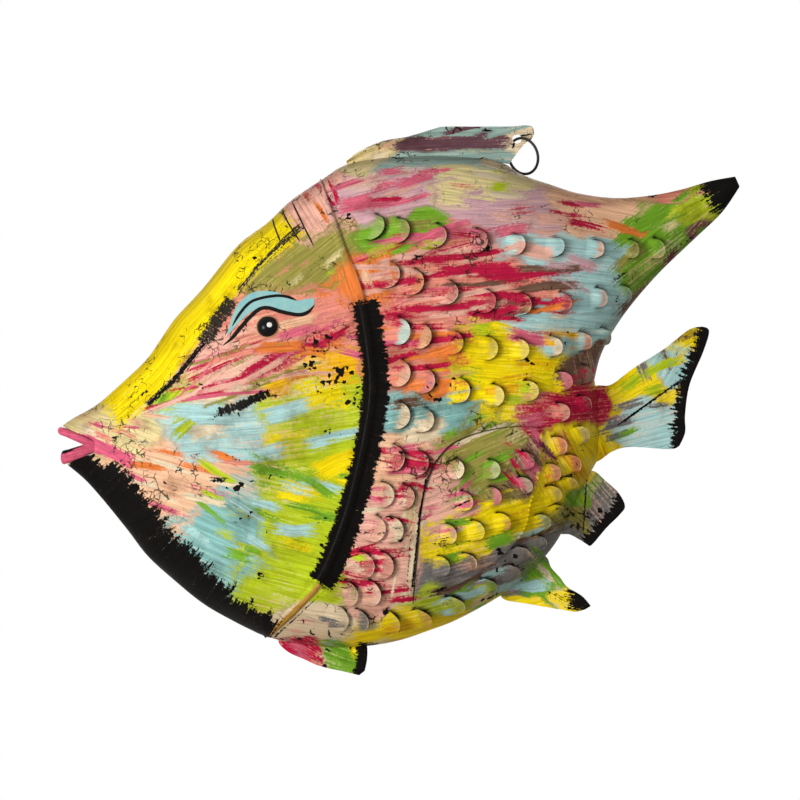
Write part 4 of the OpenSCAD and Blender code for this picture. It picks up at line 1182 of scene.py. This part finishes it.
# dipped stove enamel: deep black, smooth and glossy; the lamps make one highlight, and the white glint in the tint is a
# painted highlight
eyeMaterial, tree = newMaterial("gloss black enamel eye")
eyeTint = addNode(tree, "Attribute", {"attribute_name": "tint"})
eyeSurface = addNode(tree, "BsdfPrincipled", None,
                     {"Base Color": eyeTint.outputs["Color"], "Roughness": 0.2, "Specular IOR Level": 0.12})
addNode(tree, "OutputMaterial", None, {0: eyeSurface})
n = flankNormal([eye["place"]], eye["probe"])[0]
foot = flank([eye["place"]])[0]
t = unit(np.cross([0, 0, 1], n))
b = np.cross(n, t)
bend = np.linspace(0, math.pi / 2, eye["rings"])
outR = eye["d"] / 2
profileR = np.concatenate([outR * np.sin(bend), outR + eye["rim"] * np.array(eye["rimOut"])])
profileH = np.concatenate([eye["fit"] + eye["h"] * np.cos(bend), eye["rimHigh"] * np.array(eye["rimUp"])])
angle = fullTurn(eye["sides"])
ringX, ringY = np.outer(profileR, np.cos(angle)), np.outer(profileR, np.sin(angle))
dome = foot + ringX[..., None] * t + ringY[..., None] * b + profileH[:, None, None] * n
glintFar = np.hypot(ringX + eye["glintShift"][0], ringY - eye["glintShift"][1])
tint = np.where((glintFar < eye["glint"])[..., None], rgba(eye["white"]), rgba(eye["black"]))
tint[eye["rings"]:] = rgba(eye["tan"])
tint = np.concatenate([tint.reshape(-1, 4), [rgba(eye["tan"])]])
eyePiece = newPiece()
ids = addPoints(eyePiece, dome)
eyePiece["faces"].append(quads(around(ids)))
addFan(eyePiece, ids[-1][::-1], foot - eye["back"] * n)
for side in ("left", "right"):
    stud = buildObject(f"{side}Eye", eyePiece)
    addLayer(stud.data, "tint", "FLOAT_COLOR", tint)
    finish(stud, eyeMaterial, "black_eye", f"{side}_eye")

# Brow over the eye: a teal crescent between two black lines, brushed on the sheet
brow = {
    "top": [(-253.4, -172.5), (-247, -152), (-237.6, -140), (-225.3, -135), (-208.6, -136.4), (-193.6, -143),
            (-184, -142), (-177, -141)],
    "low": [(-253, -174), (-247, -167), (-240, -159.5), (-232.8, -153.5), (-226, -150.2), (-217, -149.8),
            (-205.9, -153.1), (-191, -155.8), (-177.5, -147.5)],
    "lines": [  # points, width and coats, with the lines scored behind the forehead last
        ([(-249, -166), (-241, -153), (-230.6, -143.5), (-212.1, -139.3), (-200.6, -140.2), (-192.7, -143.4)], 2.4, 2),
        ([(-257, -182.5), (-249, -176), (-242, -167.5), (-234, -158.4), (-225.3, -151), (-217, -149.8),
          (-205.9, -153.1), (-191, -155.8), (-182.2, -153.1), (-177.2, -147)], 3.2, 2),
        ([(-215, -70), (-212, -80), (-207, -92)], 1.2, 1), ([(-207, -62), (-200, -76), (-190, -92)], 1.2, 1),
        ([(-198, -55), (-188, -76), (-178, -96)], 1.2, 1)],
    "film": 0.3, "steps": 90, "across": 16,
    "lineSteps": 120, "lineAcross": 5, "lineEnd": 0.02, "lineTaper": 2.2, "streakMm": 5.5556,
    "teal": "#66AEBB", "pale": "#A4C8B6", "black": "#0E0C0A",
}


def drape(piece, plane, film):
    addSheet(piece, *offFlank(plane, film, -film), innerDark=0.0)


def ribbon(points, width):
    line = curve(points, brow["lineSteps"])
    way = unit(np.gradient(line, axis=0))
    along01 = np.linspace(brow["lineEnd"], math.pi - brow["lineEnd"], len(line))
    taper = width / 2 * np.minimum(1, np.sin(along01) * brow["lineTaper"])
    f = np.linspace(-1, 1, brow["lineAcross"])
    return line[:, None] + leftOf(way)[:, None] * (taper[:, None] * f[None])[..., None]


# enamel brushed thin over the first coat: satin, the paler ground showing through in soft streaks
tealFilm, tree = newMaterial("brushed teal enamel brow")
streak = addNode(tree, "TexNoise", None, {"Vector": addNode(tree, "TexCoord").outputs["Object"],
                                          "Scale": perMetre(brow["streakMm"]), "Detail": 4.0})
tealMix = addNode(tree, "Mix", colourMix, {0: streak, 6: rgba(brow["pale"]), 7: rgba(brow["teal"])})
tealSurface = addNode(tree, "BsdfPrincipled", None, {"Base Color": tealMix.outputs[2], "Roughness": 0.45})
addNode(tree, "OutputMaterial", None, {0: tealSurface})
# enamel drawn on with a liner brush: an even satin black
blackFilm, tree = newMaterial("satin black brow line")
blackSurface = addNode(tree, "BsdfPrincipled", None,
                       {"Base Color": rgba(brow["black"]), "Roughness": 0.5, "Specular IOR Level": 0.08})
addNode(tree, "OutputMaterial", None, {0: blackSurface})
topLine, lowLine = curve(brow["top"], brow["steps"]), curve(brow["low"], brow["steps"])
f = np.linspace(0, 1, brow["across"])
crescent = topLine[:, None] * (1 - f)[None, :, None] + lowLine[:, None] * f[None, :, None]
browPiece, linePiece = newPiece(), newPiece()
drape(browPiece, crescent, brow["film"])
for points, width, coats in brow["lines"]:
    drape(linePiece, ribbon(points, width), coats * brow["film"])
for side in ("left", "right"):
    finish(buildObject(f"{side}Brow", browPiece), tealFilm, "painted_head")
    finish(buildObject(f"{side}BrowLines", linePiece), blackFilm, "painted_head")

# Hanging ring of round wire
ringLook = {"d": 32, "wire": 2.5, "lean": 20, "turn": 40, "steps": 120, "sides": 14, "colour": "#26211E"}
lean, turn = math.radians(ringLook["lean"]), math.radians(ringLook["turn"])
a = fullTurn(ringLook["steps"])
circle = ringLook["d"] / 2 * np.stack([np.cos(a) * math.cos(turn), -np.cos(a) * math.sin(turn), np.sin(a)], -1)
circle[:, [0, 2]] = turned(circle[:, [0, 2]], lean)
ringPiece = newPiece()
addTube(ringPiece, circle - hole, ringLook["wire"] / 2, ringLook["sides"], closed=True)
# drawn iron wire left to oxidise: dark brown grey, dull, with only a soft metal sheen
wireMaterial, tree = newMaterial("oxidised iron wire")
wireSurface = addNode(tree, "BsdfPrincipled", None,
                      {"Base Color": rgba(ringLook["colour"]), "Metallic": 0.7, "Roughness": 0.45})
addNode(tree, "OutputMaterial", None, {0: wireSurface})
finish(buildObject("hangingRing", ringPiece), wireMaterial, "dark_wire", "hanging_ring", body="ring")

# Camera square on to the left flank, far enough for the photograph's mild perspective
view = {"middle": (-103.0, -229.7), "width": 704, "distance": 4200, "sensor": 36, "clipEnd": 50}
camera = addObject("camera", bpy.data.cameras.new("camera"))
camera.data.lens = view["sensor"] * view["distance"] / view["width"]
camera.data.sensor_width = view["sensor"]
camera.data.clip_end = view["clipEnd"]
camera.location = toFrame([(view["middle"][0], -view["distance"], view["middle"][1])])[0]
camera.rotation_euler = (math.pi / 2, 0, 0)
bpy.context.scene.camera = camera

# Pale floor well below the hung fish, soft lamps, white behind
studio = {
    "floorDrop": 0.30, "floorSize": 3.2, "floorColour": "#E9E7E3", "floorGlow": 0.3, "world": 0.17,
    "lamps": [
        ("key", (-2.0, -2.0, 0.05), 0.9, 58), ("fill", (0.4, -2.4, 1.7), 1.8, 19), ("back", (0.3, 2.4, 0.9), 1.8, 30)],
}


def seenPlainly(tree):
    # 1 for what the camera sees, straight or in a reflection or through glass
    path = addNode(tree, "LightPath")
    seen = path.outputs["Is Camera Ray"]
    for ray in ("Is Glossy Ray", "Is Transmission Ray"):
        seen = addNode(tree, "Math", {"operation": "MAXIMUM"}, {0: seen, 1: path.outputs[ray]})
    return seen


low, high = cadBox
half = studio["floorSize"] / 2
floorZ = low.z - studio["floorDrop"]
middle = (low + high) / 2
floorMesh = bpy.data.meshes.new("floor")
corners = [(middle.x + x * half, middle.y + y * half, floorZ) for x, y in ((-1, -1), (1, -1), (1, 1), (-1, 1))]
floorMesh.from_pydata(corners, [], [(0, 1, 2, 3)])
floor = addObject("floor", floorMesh)
# painted board: matt and pale, it takes a soft shadow and no reflection
floorMaterial, tree = newMaterial("matt pale board")
glow = addNode(tree, "Math", times, {0: seenPlainly(tree), 1: studio["floorGlow"]})
board = addNode(tree, "BsdfPrincipled", None,
                {"Base Color": rgba(studio["floorColour"]), "Roughness": 0.8, "Emission Color": (1, 1, 1, 1),
                 "Emission Strength": glow})
addNode(tree, "OutputMaterial", None, {0: board})
floorMesh.materials.append(floorMaterial)
for name, place, size, power in studio["lamps"]:
    lamp = bpy.data.lights.new(name, "AREA")
    lamp.size = size
    lamp.energy = power
    holder = addObject(name, lamp)
    holder.location = Vector(place) + middle
    holder.rotation_euler = (middle - holder.location).to_track_quat("-Z", "Y").to_euler()
world = bpy.data.worlds.new("white studio")
world.use_nodes = True
bpy.context.scene.world = world
tree = world.node_tree
tree.nodes.clear()
strength = addNode(tree, "MapRange", None, {"Value": seenPlainly(tree), "To Min": studio["world"], "To Max": 1.0})
sky = addNode(tree, "Background", None, {"Color": (1, 1, 1, 1), "Strength": strength})
addNode(tree, "OutputWorld", None, {0: sky})
bpy.context.scene.view_settings.view_transform = "Standard"
print("studio set")
